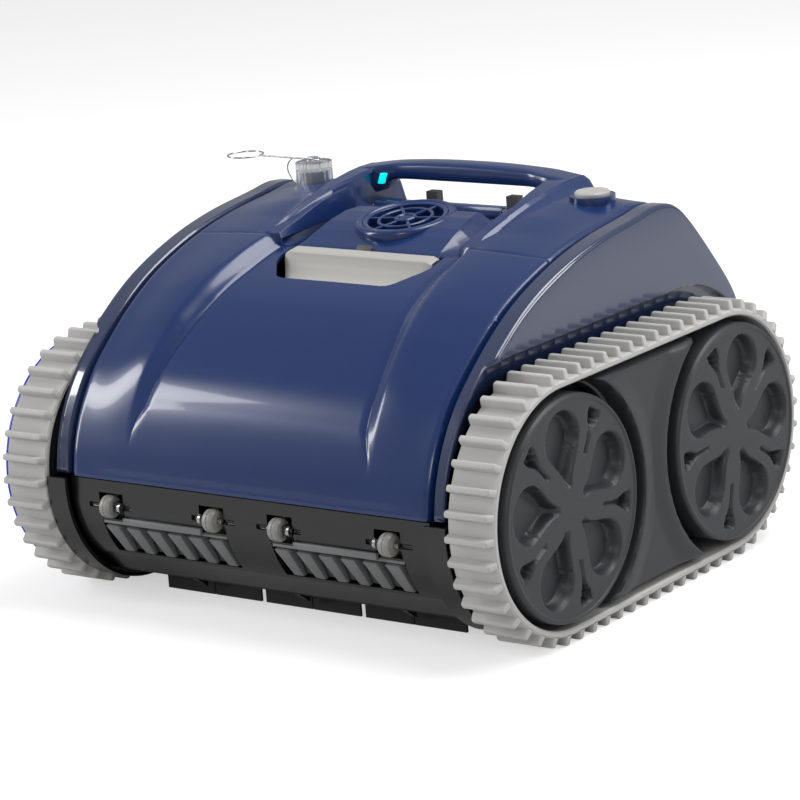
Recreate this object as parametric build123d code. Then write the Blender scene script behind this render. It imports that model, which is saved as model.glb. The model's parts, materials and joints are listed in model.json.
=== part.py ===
"""Tracked robotic pool cleaner: hull shells, tracks, rollers, filter lid, pump and fittings.

Millimetres. +X is the cleaner's left-to-right width, the nose points to -Y, +Z is up.
The origin is on the ground, midway between the wheels and between the tracks.
"""
from build123d import *
from math import atan2, cos, degrees, hypot, pi, radians, sin, tan
import os

os.makedirs("parts", exist_ok=True)

# ---------------------------------------------------------------- driving sizes
HULL_WIDTH = 324.0          # over the two shells
SHELL_WALL = 3.0
SEAM_Y = -27.0              # joint between the front and rear shells
SEAM_GAP = 0.4
SILL_Z = 104.0              # lower edge of the shells

WHEEL_BASE = 215.0
BELT_BORE_R = 85.0
BELT_THICK = 5.0
BELT_WIDTH = 38.5
GROUSER_HEIGHT = 7.0
GROUSER_WIDTH = 5.5
GROUSER_COUNT = 60
BELT_GAP = 0.5              # side panel to belt
SIDE_DEPTH = 19.0           # thickness of the panels that stand outside the hull
SIDE_WALL = 3.0

WHEEL_GAP = 3.5             # wheel to the inside of the belt
WHEEL_R = BELT_BORE_R - WHEEL_GAP
WHEEL_FACE_PROUD = 4.0      # wheel face past the belt's outer face
WHEEL_DISC_THICK = 10.0
AXLE_R = 8.0
HUB_R = 16.0
RUN_FIT = 0.05              # radial clearance of a shaft that turns
BODY_GAP = 1.5              # between a moving piece and its surroundings

GEAR_MODULE = 2.0
GEAR_TEETH = 42
PINION_TEETH = 14
GEAR_WIDTH = 7.0
GEAR_BACKLASH = 0.6
PINION_ANGLE = 150.0        # from the rear axle towards the motor, degrees above +Y
MOTOR_R = 18.0
MOTOR_LENGTH = 36.0
MOTOR_SHAFT_R = 4.0

ROLLER_R = 8.5
ROLLER_WIDTH = 10.0
ROLLER_PIN_R = 2.0
ROLLER_OUTER_X = 126.3
ROLLER_INNER_X = 29.7
ROLLER_Z = 84.0

VENT_INNER_X = 20.0
VENT_OUTER_X = 137.0
VENT_TOP_Z = 75.0
VENT_BOTTOM_Z = 45.0
LOUVRE_COUNT = 6
LOUVRE_WIDTH = 12.0

LID_HALF_WIDTH = 79.3
LID_FRONT_Y = -25.5
LID_REAR_Y = 60.0
LID_WALL = 3.0
LID_HINGE_Y = 66.0
LID_HINGE_Z = 257.0
LID_HINGE_R = 3.0
HINGE_FOOT = 4.0
GRILLE_Y = 22.0
GRILLE_R = 38.0
GRILLE_RING = 6.0           # wall of the boss round the grille
GRILLE_BORE_R = GRILLE_R - GRILLE_RING
GRILLE_TOP_Z = 268.0

DECK_HALF_WIDTH = 81.0      # between the inner walls of the rails
DECK_FLOOR_Z = 250.0
RAIL_WIDTH = 16.0
HANDLE_FRONT_Y = 95.0
HANDLE_REAR_Y = 119.0
HANDLE_UNDER_Z = 272.0
HANDLE_TOP_Z = 287.5
HANDLE_END_Z = 280.0        # top of the bar where it meets the rails
RAIL_FRONT_Z = 252.8
RAIL_FOOT_Z = 237.0
RAIL_LINE = [(-3.8, 262.2), (25.5, 270.6), (62.5, 278.4), (97.0, 283.5)]

DUCT_BORE_R = 28.0
DUCT_WALL = 2.5
PUMP_SHAFT_R = 3.0
IMPELLER_R = DUCT_BORE_R - BODY_GAP
BASKET_WALL = 2.5

POST_X = 128.4              # charging port at -X, power button at +X
POST_Y = 79.7
BUTTON_R = 13.2
BUTTON_TRAVEL = 2.5

# ---------------------------------------------------------------- worked out
HULL_HALF = HULL_WIDTH / 2
SIDE_X = HULL_HALF + SIDE_DEPTH
BELT_INNER_X = SIDE_X + BELT_GAP
BELT_OUTER_X = BELT_INNER_X + BELT_WIDTH
WHEEL_FACE_X = BELT_OUTER_X + WHEEL_FACE_PROUD
WHEEL_Z = BELT_BORE_R + BELT_THICK + GROUSER_HEIGHT
WHEEL_HALF = WHEEL_BASE / 2
TUB_FLOOR_Z = 20.0
TUB_TOP_Z = SILL_Z - 1.0    # leaves room for the gasket
TUB_FRONT_Y = -146.0
TUB_REAR_Y = -TUB_FRONT_Y
GEAR_X = HULL_HALF + 1.5
PINION_OFFSET = GEAR_MODULE * (GEAR_TEETH + PINION_TEETH) / 2
PINION_Y = WHEEL_HALF + PINION_OFFSET * cos(radians(PINION_ANGLE))
PINION_Z = WHEEL_Z + PINION_OFFSET * sin(radians(PINION_ANGLE))


# ---------------------------------------------------------------- sizes of the pieces
# recess over the pull handle
RECESS_TOP_HALF = 69.0
RECESS_LOW_HALF = 51.0
RECESS_TOP_Y = SEAM_Y
RECESS_MID_Y = -48.0
RECESS_LOW_Y = -73.5

# grooves of the front shell
GROOVE_INNER_X = 92.0
GROOVE_OUTER_X = 106.0
GROOVE_DEPTH = 1.8

# side panels and frames
PANEL_GROOVE = 4.0
PANEL_RECESS = 7.0
PANEL_ARCH_GAP = 7.0             # panel edge above the belt
ARCH_CLEAR_R = WHEEL_Z + PANEL_ARCH_GAP
PANEL_FIT = 0.2
FRAME_LIP = 6.0                  # frame's edge past the belt's bore
FRAME_R = BELT_BORE_R + FRAME_LIP

# wheels and covers
POCKET_COUNT = 5
POCKET_R = 17.0
POCKET_RIM = 12.5                # from a pocket's edge to the wheel's edge
POCKET_PITCH_R = WHEEL_R - POCKET_R - POCKET_RIM
POCKET_DEPTH = 7.0
POCKET_START = 88.0
WHEEL_EDGE = 4.0
DRUM_WALL = 5.0
COVER_GAP_R = WHEEL_R + 5.5
CREASE_R = COVER_GAP_R + 5.5
COVER_POST_R = 7.0
COVER_POST_OFFSET = 55.0
AXLE_FLANGE = 5.0

# bumpers
BUMPER_FACE_Y = -191.5
CHIN_Y = -172.0
CHIN_Z = 42.0
LIP_Y = -151.0
LIP_Z = 23.0
BUMPER_TOP_Z = SILL_Z - 1.0

# floor: intakes, doors and flap
INTAKE_INNER_X = 28.0
INTAKE_OUTER_X = 88.0
INTAKE_FRONT_Y = -8.0
INTAKE_REAR_Y = 42.0
DOOR_GAP = 0.4
DOOR_THICK = 2.0
DOOR_HINGE_Y = INTAKE_FRONT_Y - 8.0
DOOR_HINGE_Z = TUB_FLOOR_Z + SHELL_WALL + 4.0
FLAP_HALF = 137.0
FLAP_Y = -123.0
FLAP_THICK = 2.0
GROUND_CLEAR = 1.5

# lid and outlet grille
LID_FRONT_Z = 243.4
LID_REAR_Z = 252.6
LID_PEAK = (42.0, 264.6)
LID_BROW = (LID_FRONT_Y + 3.5, 248.0)
LID_FLARE = 22.3            # how far each side wall leans in over the dome's height
LID_DOME = 14.0
GRILLE_TILT = 7.7

# pull handle
PULL_PIVOT_Y = -32.0
PULL_PIVOT_Z = 240.7
PULL_PIN_R = 1.2
PULL_BARREL_R = 3.2
PULL_LUG_X = 57.5

# filter basket and pump
SEAT_Z = 238.0
BASKET_HALF = 70.0
BASKET_FRONT_Y = -18.0
BASKET_REAR_Y = 62.0
BASKET_FLOOR_Z = 132.0
BASKET_RIM = 2.5
BASKET_TUBE_TOP_Z = 226.0
DUCT_FLOOR_Z = 112.0
DUCT_GAP = 0.5              # pump duct to the intake duct's rear wall
DUCT_TOP_Z = 236.0
MOTOR_TOP_Z = 152.0

# charging port and its keeper
PORT_BODY_R = 12.0
PORT_TOP_Z = 279.0
CAP_WALL = 3.0
CAP_PLAY = 0.3
PORT_NECK_R = PORT_BODY_R - 1.0
PORT_THROAT_R = 8.5
PORT_PIN_R = 2.0
CAP_R = PORT_NECK_R + CAP_PLAY + CAP_WALL
CAP_RIBS = 18
CAP_RIB_R = 1.1
PORT_SEAT_Z = 266.1
PORT_SEAT_TOP_Z = 267.4
PORT_LOW_Z = 246.0
CAP_LOW_Z = 267.8
CAP_TOP_Z = 286.7
KNOB_R = 4.2
KNOB_TOP_Z = 290.2
WIRE_R = 0.7
RING_R = 13.0
RING_X = -POST_X - 58.0
RING_Y = POST_Y - 36.0

# power button
BUTTON_SLEEVE = 2.0
BUTTON_GUIDE_R = BUTTON_R + BUTTON_SLEEVE
BUTTON_PLAY = 0.4
BUTTON_STEP = 3.0
BUTTON_LOW_Z = 265.0
BUTTON_TOP_Z = 277.5
BUTTON_EDGE = 1.2
COLLAR_R = BUTTON_GUIDE_R + 1.8
COLLAR_TOP_Z = 274.5


# ---------------------------------------------------------------- helpers
def across(outline, x_from, x_to):
    """Extrude a (y, z) outline along X between two planes."""
    return extrude(Plane.YZ.offset(x_from) * outline, amount=x_to - x_from, dir=(1, 0, 0))


def block(x, y, z):
    """A box from three (low, high) pairs."""
    size = [high - low for low, high in (x, y, z)]
    middle = [(high + low) / 2 for low, high in (x, y, z)]
    return Pos(*middle) * Box(*size)


def post(x, y, z_from, z_to, radius):
    """A vertical cylinder."""
    return Pos(x, y, (z_from + z_to) / 2) * Cylinder(radius, z_to - z_from)


def bar(x_from, x_to, y, z, radius):
    """A cylinder lying along X."""
    middle = Pos((x_from + x_to) / 2, y, z)
    return middle * Rot(0, 90, 0) * Cylinder(radius, abs(x_to - x_from))


def stadium(radius):
    """The (y, z) outline of a belt run at a radius round both wheels."""
    return Pos(0, WHEEL_Z) * SlotCenterToCenter(WHEEL_BASE, 2 * radius)


def disc(radius, y):
    return Pos(y, WHEEL_Z) * Circle(radius)


def both_sides(part):
    return {"right": part, "left": mirror(part, about=Plane.YZ)}


def save(name, part):
    part.label = name
    export_step(part, "parts/" + name + ".step")


# ---------------------------------------------------------------- hull outline
NOSE = (-192.0, SILL_Z)
BROW = (-148.0, 187.0)
DECK_START = (8.5, 258.7)
CREST = (105.0, 268.0)
TAIL = (160.0, 214.4)
STERN = (197.0, 140.0)
STERN_FOOT = (192.0, SILL_Z)


HULL_POINTS = [NOSE, (-178.0, 149.0), BROW, (-80.0, 232.5), DECK_START, (58.0, 264.6), CREST,
               TAIL, (186.0, 180.0), STERN, STERN_FOOT]


def moved_in(before, point, after, inset):
    """Move a corner of a clockwise outline inwards, square to its two chords."""
    first = Vector(point[0] - before[0], point[1] - before[1]).normalized()
    second = Vector(after[0] - point[0], after[1] - point[1]).normalized()
    inwards = Vector(first.Y + second.Y, -first.X - second.X).normalized()
    reach = inset / inwards.dot(Vector(first.Y, -first.X))
    return point[0] + inwards.X * reach, point[1] + inwards.Y * reach


def hull_outline(inset=0.0):
    """Side view of the two shells, from the nose over the deck to the stern."""
    count = len(HULL_POINTS)
    points = []
    for index, point in enumerate(HULL_POINTS):
        before, after = HULL_POINTS[index - 1], HULL_POINTS[(index + 1) % count]
        points.append(moved_in(before, point, after, inset))
    edges = [ThreePointArc(*points[start:start + 3]) for start in (0, 2, 4, 7)]
    edges += [Line(points[6], points[7]), Line(points[9], points[10]), Line(points[10], points[0])]
    return make_face(Curve() + edges)


HULL = hull_outline()
HULL_INSIDE = hull_outline(SHELL_WALL)
HULL_FOOT = Pos(0, SILL_Z) * Rectangle(2 * (STERN_FOOT[0] - SHELL_WALL), 4 * SHELL_WALL)


def hull_shell():
    inner_half = HULL_HALF - SHELL_WALL
    shell = across(HULL, -HULL_HALF, HULL_HALF)
    return shell - across(HULL_INSIDE + HULL_FOOT, -inner_half, inner_half) - axle_holes()


def axle_holes():
    """Holes for the four stub axles, through both side walls of the hull."""
    holes = [bar(-HULL_HALF - 1, HULL_HALF + 1, y, WHEEL_Z, AXLE_R) for y in (-WHEEL_HALF, WHEEL_HALF)]
    return holes[0] + holes[1]


# ---------------------------------------------------------------- pull-handle recess


def recess_outline(inset):
    """Plan of the opening over the pull handle, drawn smaller by an inset."""
    wide = RECESS_TOP_HALF - inset
    narrow = RECESS_LOW_HALF - inset
    top, middle, low = RECESS_TOP_Y - inset, RECESS_MID_Y, RECESS_LOW_Y + inset
    corners = [(-wide, top), (wide, top), (wide, middle), (narrow, low), (-narrow, low), (-wide, middle)]
    return Polygon(*corners, align=None)


# ---------------------------------------------------------------- shells


def front_shell():
    shell = hull_shell() - block((-HULL_WIDTH, HULL_WIDTH), (SEAM_Y - SEAM_GAP, 300), (0, 400))
    shell -= extrude(Pos(0, 0, 150) * recess_outline(0), amount=150, dir=(0, 0, 1))
    band = HULL - hull_outline(GROOVE_DEPTH)
    trim = Pos(-100, 200) * Rectangle(170, 110)
    for side in (-1, 1):
        x_pair = sorted((side * GROOVE_INNER_X, side * GROOVE_OUTER_X))
        shell -= across(band & trim, *x_pair)
    return shell


def rear_shell():
    shell = hull_shell() - block((-HULL_WIDTH, HULL_WIDTH), (-300, SEAM_Y), (0, 400))
    shell -= block((-DECK_HALF_WIDTH, DECK_HALF_WIDTH), (-300, 300), (DECK_FLOOR_Z, 400))
    deck_front = LID_HINGE_Y + HINGE_FOOT + 0.2
    shell -= block((-DECK_HALF_WIDTH, DECK_HALF_WIDTH), (SEAM_Y, deck_front), (200, 400))
    rear_y = TAIL[0] - (DECK_FLOOR_Z - TAIL[1]) * (TAIL[0] - CREST[0]) / (CREST[1] - TAIL[1])
    floor_z = (DECK_FLOOR_Z - SHELL_WALL, DECK_FLOOR_Z)
    walls = block((-DECK_HALF_WIDTH, DECK_HALF_WIDTH), (deck_front, rear_y - SHELL_WALL), floor_z)
    outer = DECK_HALF_WIDTH + SHELL_WALL
    cheek = across(HULL, DECK_HALF_WIDTH, outer) & block((0, outer), (SEAM_Y, rear_y), (238, 300))
    walls = walls + cheek + mirror(cheek, about=Plane.YZ)
    shell = shell + (walls & across(HULL, -HULL_HALF, HULL_HALF))
    shell -= post(-POST_X, POST_Y, 240, 290, PORT_BODY_R)
    shell -= post(POST_X, POST_Y, 240, 290, BUTTON_GUIDE_R)
    for side in (-1, 1):
        shell -= bar(side * (HULL_HALF - 2 * SHELL_WALL), side * (HULL_HALF + SHELL_WALL),
                     PINION_Y, PINION_Z, MOTOR_SHAFT_R + BODY_GAP)
    return shell


def carry_handle():
    """Two rails that rise from the deck and a cross bar with a hand hole under it."""
    inner = DECK_HALF_WIDTH + SHELL_WALL
    front_top = (SEAM_Y + SEAM_GAP, RAIL_FRONT_Z)
    front_foot = (SEAM_Y + SEAM_GAP, RAIL_FOOT_Z)
    rear_top = (HANDLE_REAR_Y, HANDLE_END_Z)
    rear_foot = (HANDLE_REAR_Y + 17.0, RAIL_FOOT_Z)
    edges = [
        Spline(front_top, *RAIL_LINE),
        Line(RAIL_LINE[-1], rear_top),
        Line(rear_top, rear_foot),
        Line(rear_foot, front_foot),
        Line(front_foot, front_top),
    ]
    side_view = make_face(Curve() + edges)
    rail = across(side_view, inner, inner + RAIL_WIDTH) - across(HULL, -HULL_HALF, HULL_HALF)
    half = inner + 1.0
    under_end_z = HANDLE_UNDER_Z - 3.5
    arch = make_face(Curve() + [
        ThreePointArc((-half, HANDLE_END_Z), (0, HANDLE_TOP_Z), (half, HANDLE_END_Z)),
        Line((half, HANDLE_END_Z), (half, under_end_z)),
        ThreePointArc((half, under_end_z), (0, HANDLE_UNDER_Z), (-half, under_end_z)),
        Line((-half, under_end_z), (-half, HANDLE_END_Z)),
    ])
    bar_y = (HANDLE_FRONT_Y, HANDLE_REAR_Y)
    cross = extrude(Plane.XZ.offset(-bar_y[1]) * arch, amount=bar_y[1] - bar_y[0], dir=(0, -1, 0))
    return rail + mirror(rail, about=Plane.YZ) + cross


def basket_seat():
    """Frame under the lid that the filter basket hangs in."""
    half = DECK_HALF_WIDTH
    frame_z = (SEAT_Z - SHELL_WALL, SEAT_Z)
    frame = block((-half, half), (SEAM_Y + SEAM_GAP, LID_HINGE_Y + HINGE_FOOT), frame_z)
    hole = block((-BASKET_HALF - 1, BASKET_HALF + 1), (BASKET_FRONT_Y - 1, BASKET_REAR_Y + 1), (200, 260))
    return frame - hole


# ---------------------------------------------------------------- side panels and frames


def side_panel():
    """Upper half of one side: overhangs the belt, hollow towards the hull."""
    low = SILL_Z - 0.8
    above = Pos(0, low + 150) * Rectangle(600, 300)
    groove_x = HULL_HALF + PANEL_GROOVE
    inset = hull_outline(PANEL_GROOVE) + HULL_FOOT
    neck = across(inset & above, HULL_HALF + PANEL_FIT, groove_x)
    body = across((HULL + HULL_FOOT) & above, groove_x, SIDE_X)
    arch = across(stadium(ARCH_CLEAR_R), SIDE_X - PANEL_RECESS, SIDE_X + 1)
    hollow_outline = hull_outline(PANEL_GROOVE + SIDE_WALL)
    foot = Pos(0, SILL_Z) * Rectangle(2 * (STERN_FOOT[0] - 4 * SIDE_WALL), 8 * SIDE_WALL)
    hollow = across(hollow_outline + foot, HULL_HALF, SIDE_X - PANEL_RECESS - SIDE_WALL)
    panel = neck + body - arch - hollow
    for y in (-WHEEL_HALF, WHEEL_HALF):
        panel -= across(disc(HUB_R + BODY_GAP, y), HULL_HALF, SIDE_X + 1)
    return panel


def side_frame():
    """Lower half of one side: carries the belt's guide rim, hollow for the gears."""
    below = Pos(0, SILL_Z - 1.0 - 150) * Rectangle(600, 300)
    rim = across(stadium(FRAME_R) & below, HULL_HALF + PANEL_FIT, SIDE_X - 1.0)
    hollow = across(stadium(FRAME_R - SIDE_WALL), HULL_HALF, SIDE_X - 1.0 - SIDE_WALL)
    frame = rim - hollow
    for y in (-WHEEL_HALF, WHEEL_HALF):
        frame -= across(disc(HUB_R + BODY_GAP, y), HULL_HALF, SIDE_X + 1)
    return frame


# ---------------------------------------------------------------- tracks
def track_place(distance, radius):
    """Point and outward angle on the belt's outer run, measured along it."""
    arc = pi * radius
    loop = 2 * WHEEL_BASE + 2 * arc
    distance = distance % loop
    if distance < WHEEL_BASE:
        return -WHEEL_HALF + distance, WHEEL_Z + radius, 90.0
    distance -= WHEEL_BASE
    if distance < arc:
        turn = pi / 2 - distance / radius
        return WHEEL_HALF + radius * cos(turn), WHEEL_Z + radius * sin(turn), degrees(turn)
    distance -= arc
    if distance < WHEEL_BASE:
        return WHEEL_HALF - distance, WHEEL_Z - radius, -90.0
    turn = -pi / 2 - (distance - WHEEL_BASE) / radius
    return -WHEEL_HALF + radius * cos(turn), WHEEL_Z + radius * sin(turn), degrees(turn)


def track_belt():
    """Endless belt with round-nosed bars across it."""
    outer = BELT_BORE_R + BELT_THICK
    pitch = (2 * WHEEL_BASE + 2 * pi * outer) / GROUSER_COUNT
    root, tip = GROUSER_WIDTH / 2 + 0.8, GROUSER_WIDTH / 2 - 0.6
    tooth = Polygon((-0.5, -root), (GROUSER_HEIGHT, -tip), (GROUSER_HEIGHT, tip), (-0.5, root), align=None)
    outline = stadium(outer)
    for index in range(GROUSER_COUNT):
        y, z, angle = track_place((index + 0.5) * pitch, outer)
        outline += Pos(y, z) * Rot(0, 0, angle) * tooth
    return across(outline - stadium(BELT_BORE_R), BELT_INNER_X, BELT_OUTER_X)


def track_wheel(y):
    """Dished wheel: face with five round pockets, drum under the belt, long hub."""
    face_x = WHEEL_FACE_X
    back_x = face_x - WHEEL_DISC_THICK
    wheel = across(disc(WHEEL_R, y), back_x, face_x)
    wheel = fillet(wheel.edges().group_by(Axis.X)[-1], WHEEL_EDGE)
    drum = disc(WHEEL_R, y) - disc(WHEEL_R - DRUM_WALL, y)
    wheel += across(drum, BELT_INNER_X + 3.0, back_x)
    wheel += across(disc(HUB_R, y), GEAR_X, back_x)
    for index in range(POCKET_COUNT):
        angle = radians(POCKET_START + index * 360 / POCKET_COUNT)
        spot = Pos(y + POCKET_PITCH_R * cos(angle), WHEEL_Z + POCKET_PITCH_R * sin(angle))
        wheel -= across(spot * Circle(POCKET_R), face_x - POCKET_DEPTH, face_x + 1)
    return wheel - across(disc(AXLE_R + RUN_FIT, y), HULL_HALF, back_x)


def wheel_axles():
    """Four stub axles through the tub's walls, each with a flange inside."""
    axles = []
    tub_wall_x = HULL_HALF - SHELL_WALL
    for y in (-WHEEL_HALF, WHEEL_HALF):
        axle = across(disc(AXLE_R, y), tub_wall_x, WHEEL_FACE_X - WHEEL_DISC_THICK - 1.0)
        axle += across(disc(AXLE_R + AXLE_FLANGE, y), tub_wall_x - SHELL_WALL, tub_wall_x)
        axles += [axle, mirror(axle, about=Plane.YZ)]
    return Compound(children=axles)


def track_cover():
    """Waisted cover between the two wheels, stood off the side frame on two posts."""
    waist = stadium(BELT_BORE_R - BODY_GAP) - disc(COVER_GAP_R, -WHEEL_HALF) - disc(COVER_GAP_R, WHEEL_HALF)
    column = stadium(BELT_BORE_R - BODY_GAP) - disc(CREASE_R, -WHEEL_HALF) - disc(CREASE_R, WHEEL_HALF)
    between = Pos(0, WHEEL_Z) * Rectangle(WHEEL_BASE, 4 * BELT_BORE_R)
    cover = across(waist & between, BELT_OUTER_X - 14.0, BELT_OUTER_X - 3.0)
    cover += across(column & between, BELT_OUTER_X - 3.0, WHEEL_FACE_X - 1.0)
    for z in (WHEEL_Z - COVER_POST_OFFSET, WHEEL_Z + COVER_POST_OFFSET):
        wall_x = SIDE_X - 1.0 if z < SILL_Z else SIDE_X - PANEL_RECESS
        cover += bar(wall_x, BELT_OUTER_X - 10.0, 0, z, COVER_POST_R)
    return cover


def belt_band():
    """Thin coloured ring on the outer face of the left belt."""
    ring = stadium(BELT_BORE_R + BELT_THICK - 0.5) - stadium(BELT_BORE_R + 1.0)
    return mirror(across(ring, BELT_OUTER_X, BELT_OUTER_X + 1.2), about=Plane.YZ)


# ---------------------------------------------------------------- drive
def gear_outline(teeth, tooth_angle):
    """Straight-flanked gear: one tooth is centred on tooth_angle (degrees)."""
    pitch_r = GEAR_MODULE * teeth / 2
    half = pi * GEAR_MODULE / 4 - GEAR_BACKLASH / 2
    slope = tan(radians(20))
    corners = []
    for height, order in ((-1.2, -1), (0.8, -1), (0.8, 1), (-1.2, 1)):
        radius = pitch_r + height * GEAR_MODULE
        corners.append((radius, order * (half - height * GEAR_MODULE * slope) / radius))
    points = []
    for index in range(teeth):
        middle = radians(tooth_angle) + index * 2 * pi / teeth
        points += [(r * cos(middle + a), r * sin(middle + a)) for r, a in corners]
    return Polygon(*points, align=None)


def drive_gear():
    ring = Pos(WHEEL_HALF, WHEEL_Z) * (gear_outline(GEAR_TEETH, PINION_ANGLE) - Circle(HUB_R))
    return across(ring, GEAR_X, GEAR_X + GEAR_WIDTH)


def drive_pinion():
    """Motor pinion with its shaft."""
    half_pitch = 180 / PINION_TEETH
    wheel = Pos(PINION_Y, PINION_Z) * gear_outline(PINION_TEETH, PINION_ANGLE + 180 + half_pitch)
    shaft = bar(HULL_HALF - 18.0, GEAR_X + 1.0, PINION_Y, PINION_Z, MOTOR_SHAFT_R)
    return across(wheel, GEAR_X, GEAR_X + GEAR_WIDTH) + shaft


def drive_motor():
    """Motor can with a gearbox bolted to the hull's side wall."""
    gearbox_x = HULL_HALF - SHELL_WALL - 20.0
    motor = bar(gearbox_x - MOTOR_LENGTH, gearbox_x, PINION_Y, PINION_Z, MOTOR_R)
    motor += bar(gearbox_x, HULL_HALF - SHELL_WALL, PINION_Y, PINION_Z, MOTOR_R + 3.0)
    return motor - bar(HULL_HALF - 19.0, HULL_HALF, PINION_Y, PINION_Z, MOTOR_SHAFT_R + RUN_FIT)


# ---------------------------------------------------------------- tub and bumpers


def bumper_outline():
    """Side view of the front bumper: upright face, receding chin, lower lip."""
    back = TUB_FRONT_Y - 0.4
    edges = [
        Line((back, BUMPER_TOP_Z), (BUMPER_FACE_Y + 0.6, BUMPER_TOP_Z)),
        Line((BUMPER_FACE_Y + 0.6, BUMPER_TOP_Z), (BUMPER_FACE_Y, ROLLER_Z)),
        ThreePointArc((BUMPER_FACE_Y, ROLLER_Z), (-185.2, 62.0), (CHIN_Y, CHIN_Z)),
        Line((CHIN_Y, CHIN_Z), (LIP_Y, LIP_Z)),
        Line((LIP_Y, LIP_Z), (back, LIP_Z)),
        Line((back, LIP_Z), (back, BUMPER_TOP_Z)),
    ]
    return make_face(Curve() + edges)


def bumper_shell():
    outline = bumper_outline()
    inside = offset(outline, -SHELL_WALL, kind=Kind.INTERSECTION)
    back = Pos(TUB_FRONT_Y, (BUMPER_TOP_Z + LIP_Z) / 2)
    inside += back * Rectangle(4 * SHELL_WALL, BUMPER_TOP_Z - LIP_Z - 2 * SHELL_WALL)
    shell = across(outline, -HULL_HALF, HULL_HALF)
    return shell - across(inside, -HULL_HALF + SHELL_WALL, HULL_HALF - SHELL_WALL)


def roller_places():
    """(x, outward side) of each roller, from -X to +X."""
    return [(-ROLLER_OUTER_X, -1), (-ROLLER_INNER_X, 1), (ROLLER_INNER_X, -1), (ROLLER_OUTER_X, 1)]


def front_bumper():
    bumper = bumper_shell()
    room = ROLLER_R + BODY_GAP
    for x, side in roller_places():
        low_x, high_x = sorted((x - side * (ROLLER_WIDTH / 2 + 7.5), x + side * (ROLLER_WIDTH / 2 + 5.0)))
        back_y = BUMPER_FACE_Y + room
        box = block((low_x - 2, high_x + 2), (-210, back_y + 2), (ROLLER_Z - room - 2, ROLLER_Z + room + 2))
        bumper += box & across(bumper_outline(), low_x - 2, high_x + 2)
        bumper -= block((low_x, high_x), (-210, back_y), (ROLLER_Z - room, ROLLER_Z + room))
        ear_x = sorted((x - side * (ROLLER_WIDTH / 2 + 1.2), x - side * (ROLLER_WIDTH / 2 + 4.2)))
        bumper += block(ear_x, (BUMPER_FACE_Y - 3.5, back_y), (ROLLER_Z - 4, ROLLER_Z + 4))
        bumper -= bar(x - 20, x + 20, BUMPER_FACE_Y, ROLLER_Z, ROLLER_PIN_R)
    for side in (-1, 1):
        x_pair = sorted((side * VENT_INNER_X, side * VENT_OUTER_X))
        bumper -= block(x_pair, (-200, -160), (VENT_BOTTOM_Z, VENT_TOP_Z - 2.6))
    return bumper


def rear_bumper():
    return mirror(bumper_shell(), about=Plane.XZ)


def front_roller(x):
    roller = bar(x - ROLLER_WIDTH / 2, x + ROLLER_WIDTH / 2, BUMPER_FACE_Y, ROLLER_Z, ROLLER_R)
    roller = fillet(roller.edges().filter_by(GeomType.CIRCLE), 2.5)
    return roller - bar(x - 20, x + 20, BUMPER_FACE_Y, ROLLER_Z, ROLLER_PIN_R + RUN_FIT)


def roller_pins():
    pins = []
    for x, side in roller_places():
        outer_x = x + side * (ROLLER_WIDTH / 2 + 4.0)
        head_x = x - side * (ROLLER_WIDTH / 2 + 4.2)
        pin = bar(head_x, outer_x, BUMPER_FACE_Y, ROLLER_Z, ROLLER_PIN_R)
        pins.append(pin + bar(head_x, head_x - side * 2.5, BUMPER_FACE_Y, ROLLER_Z, 4.0))
    return Compound(children=pins)


def vent_grille():
    """Louvred insert behind one window of the bumper, leaning with the chin."""
    lean = degrees(atan2(CHIN_Y - BUMPER_FACE_Y, ROLLER_Z - CHIN_Z))
    height = (VENT_TOP_Z - VENT_BOTTOM_Z) / cos(radians(lean)) - 8.5
    pitch = (VENT_OUTER_X - VENT_INNER_X - 2.0) / LOUVRE_COUNT
    place = Pos(0, (BUMPER_FACE_Y + CHIN_Y) / 2 + 4.0, (VENT_TOP_Z + VENT_BOTTOM_Z) / 2) * Rot(lean, 0, 0)
    width = VENT_OUTER_X - VENT_INNER_X - 1.0
    middle = (VENT_OUTER_X + VENT_INNER_X) / 2
    grille = Pos(middle, 1.5, 0) * Box(width, 2.0, height)
    for index in range(LOUVRE_COUNT):
        x = VENT_INNER_X + 2.0 + index * pitch
        vane = Polygon((0, 0.6), (0, -5.5), (LOUVRE_WIDTH, -7.0), (LOUVRE_WIDTH + 4, 0.6), align=None)
        grille += Pos(x, 0, -height / 2 + 1) * extrude(vane, amount=height - 2, dir=(0, 0, 1))
    return place * grille


def chassis_tub():
    """Open tray with intake holes in its floor, axle holes and hinge lugs for the doors."""
    half = HULL_HALF
    tub = block((-half, half), (TUB_FRONT_Y, TUB_REAR_Y), (TUB_FLOOR_Z, TUB_TOP_Z))
    inner = half - SHELL_WALL
    tub -= block((-inner, inner), (TUB_FRONT_Y + SHELL_WALL, TUB_REAR_Y - SHELL_WALL),
                 (TUB_FLOOR_Z + SHELL_WALL, TUB_TOP_Z + 1))
    for side in (-1, 1):
        x_pair = sorted((side * INTAKE_INNER_X, side * INTAKE_OUTER_X))
        tub -= block(x_pair, (INTAKE_FRONT_Y, INTAKE_REAR_Y), (0, 40))
    tub -= axle_holes()
    for x in (-FLAP_HALF * 0.7, 0, FLAP_HALF * 0.7):
        gusset = Polygon((TUB_FRONT_Y + 2, TUB_FLOOR_Z), (FLAP_Y - 6, TUB_FLOOR_Z), (FLAP_Y - 6, 9), align=None)
        tub += across(gusset, x - 2, x + 2)
    return tub


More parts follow.
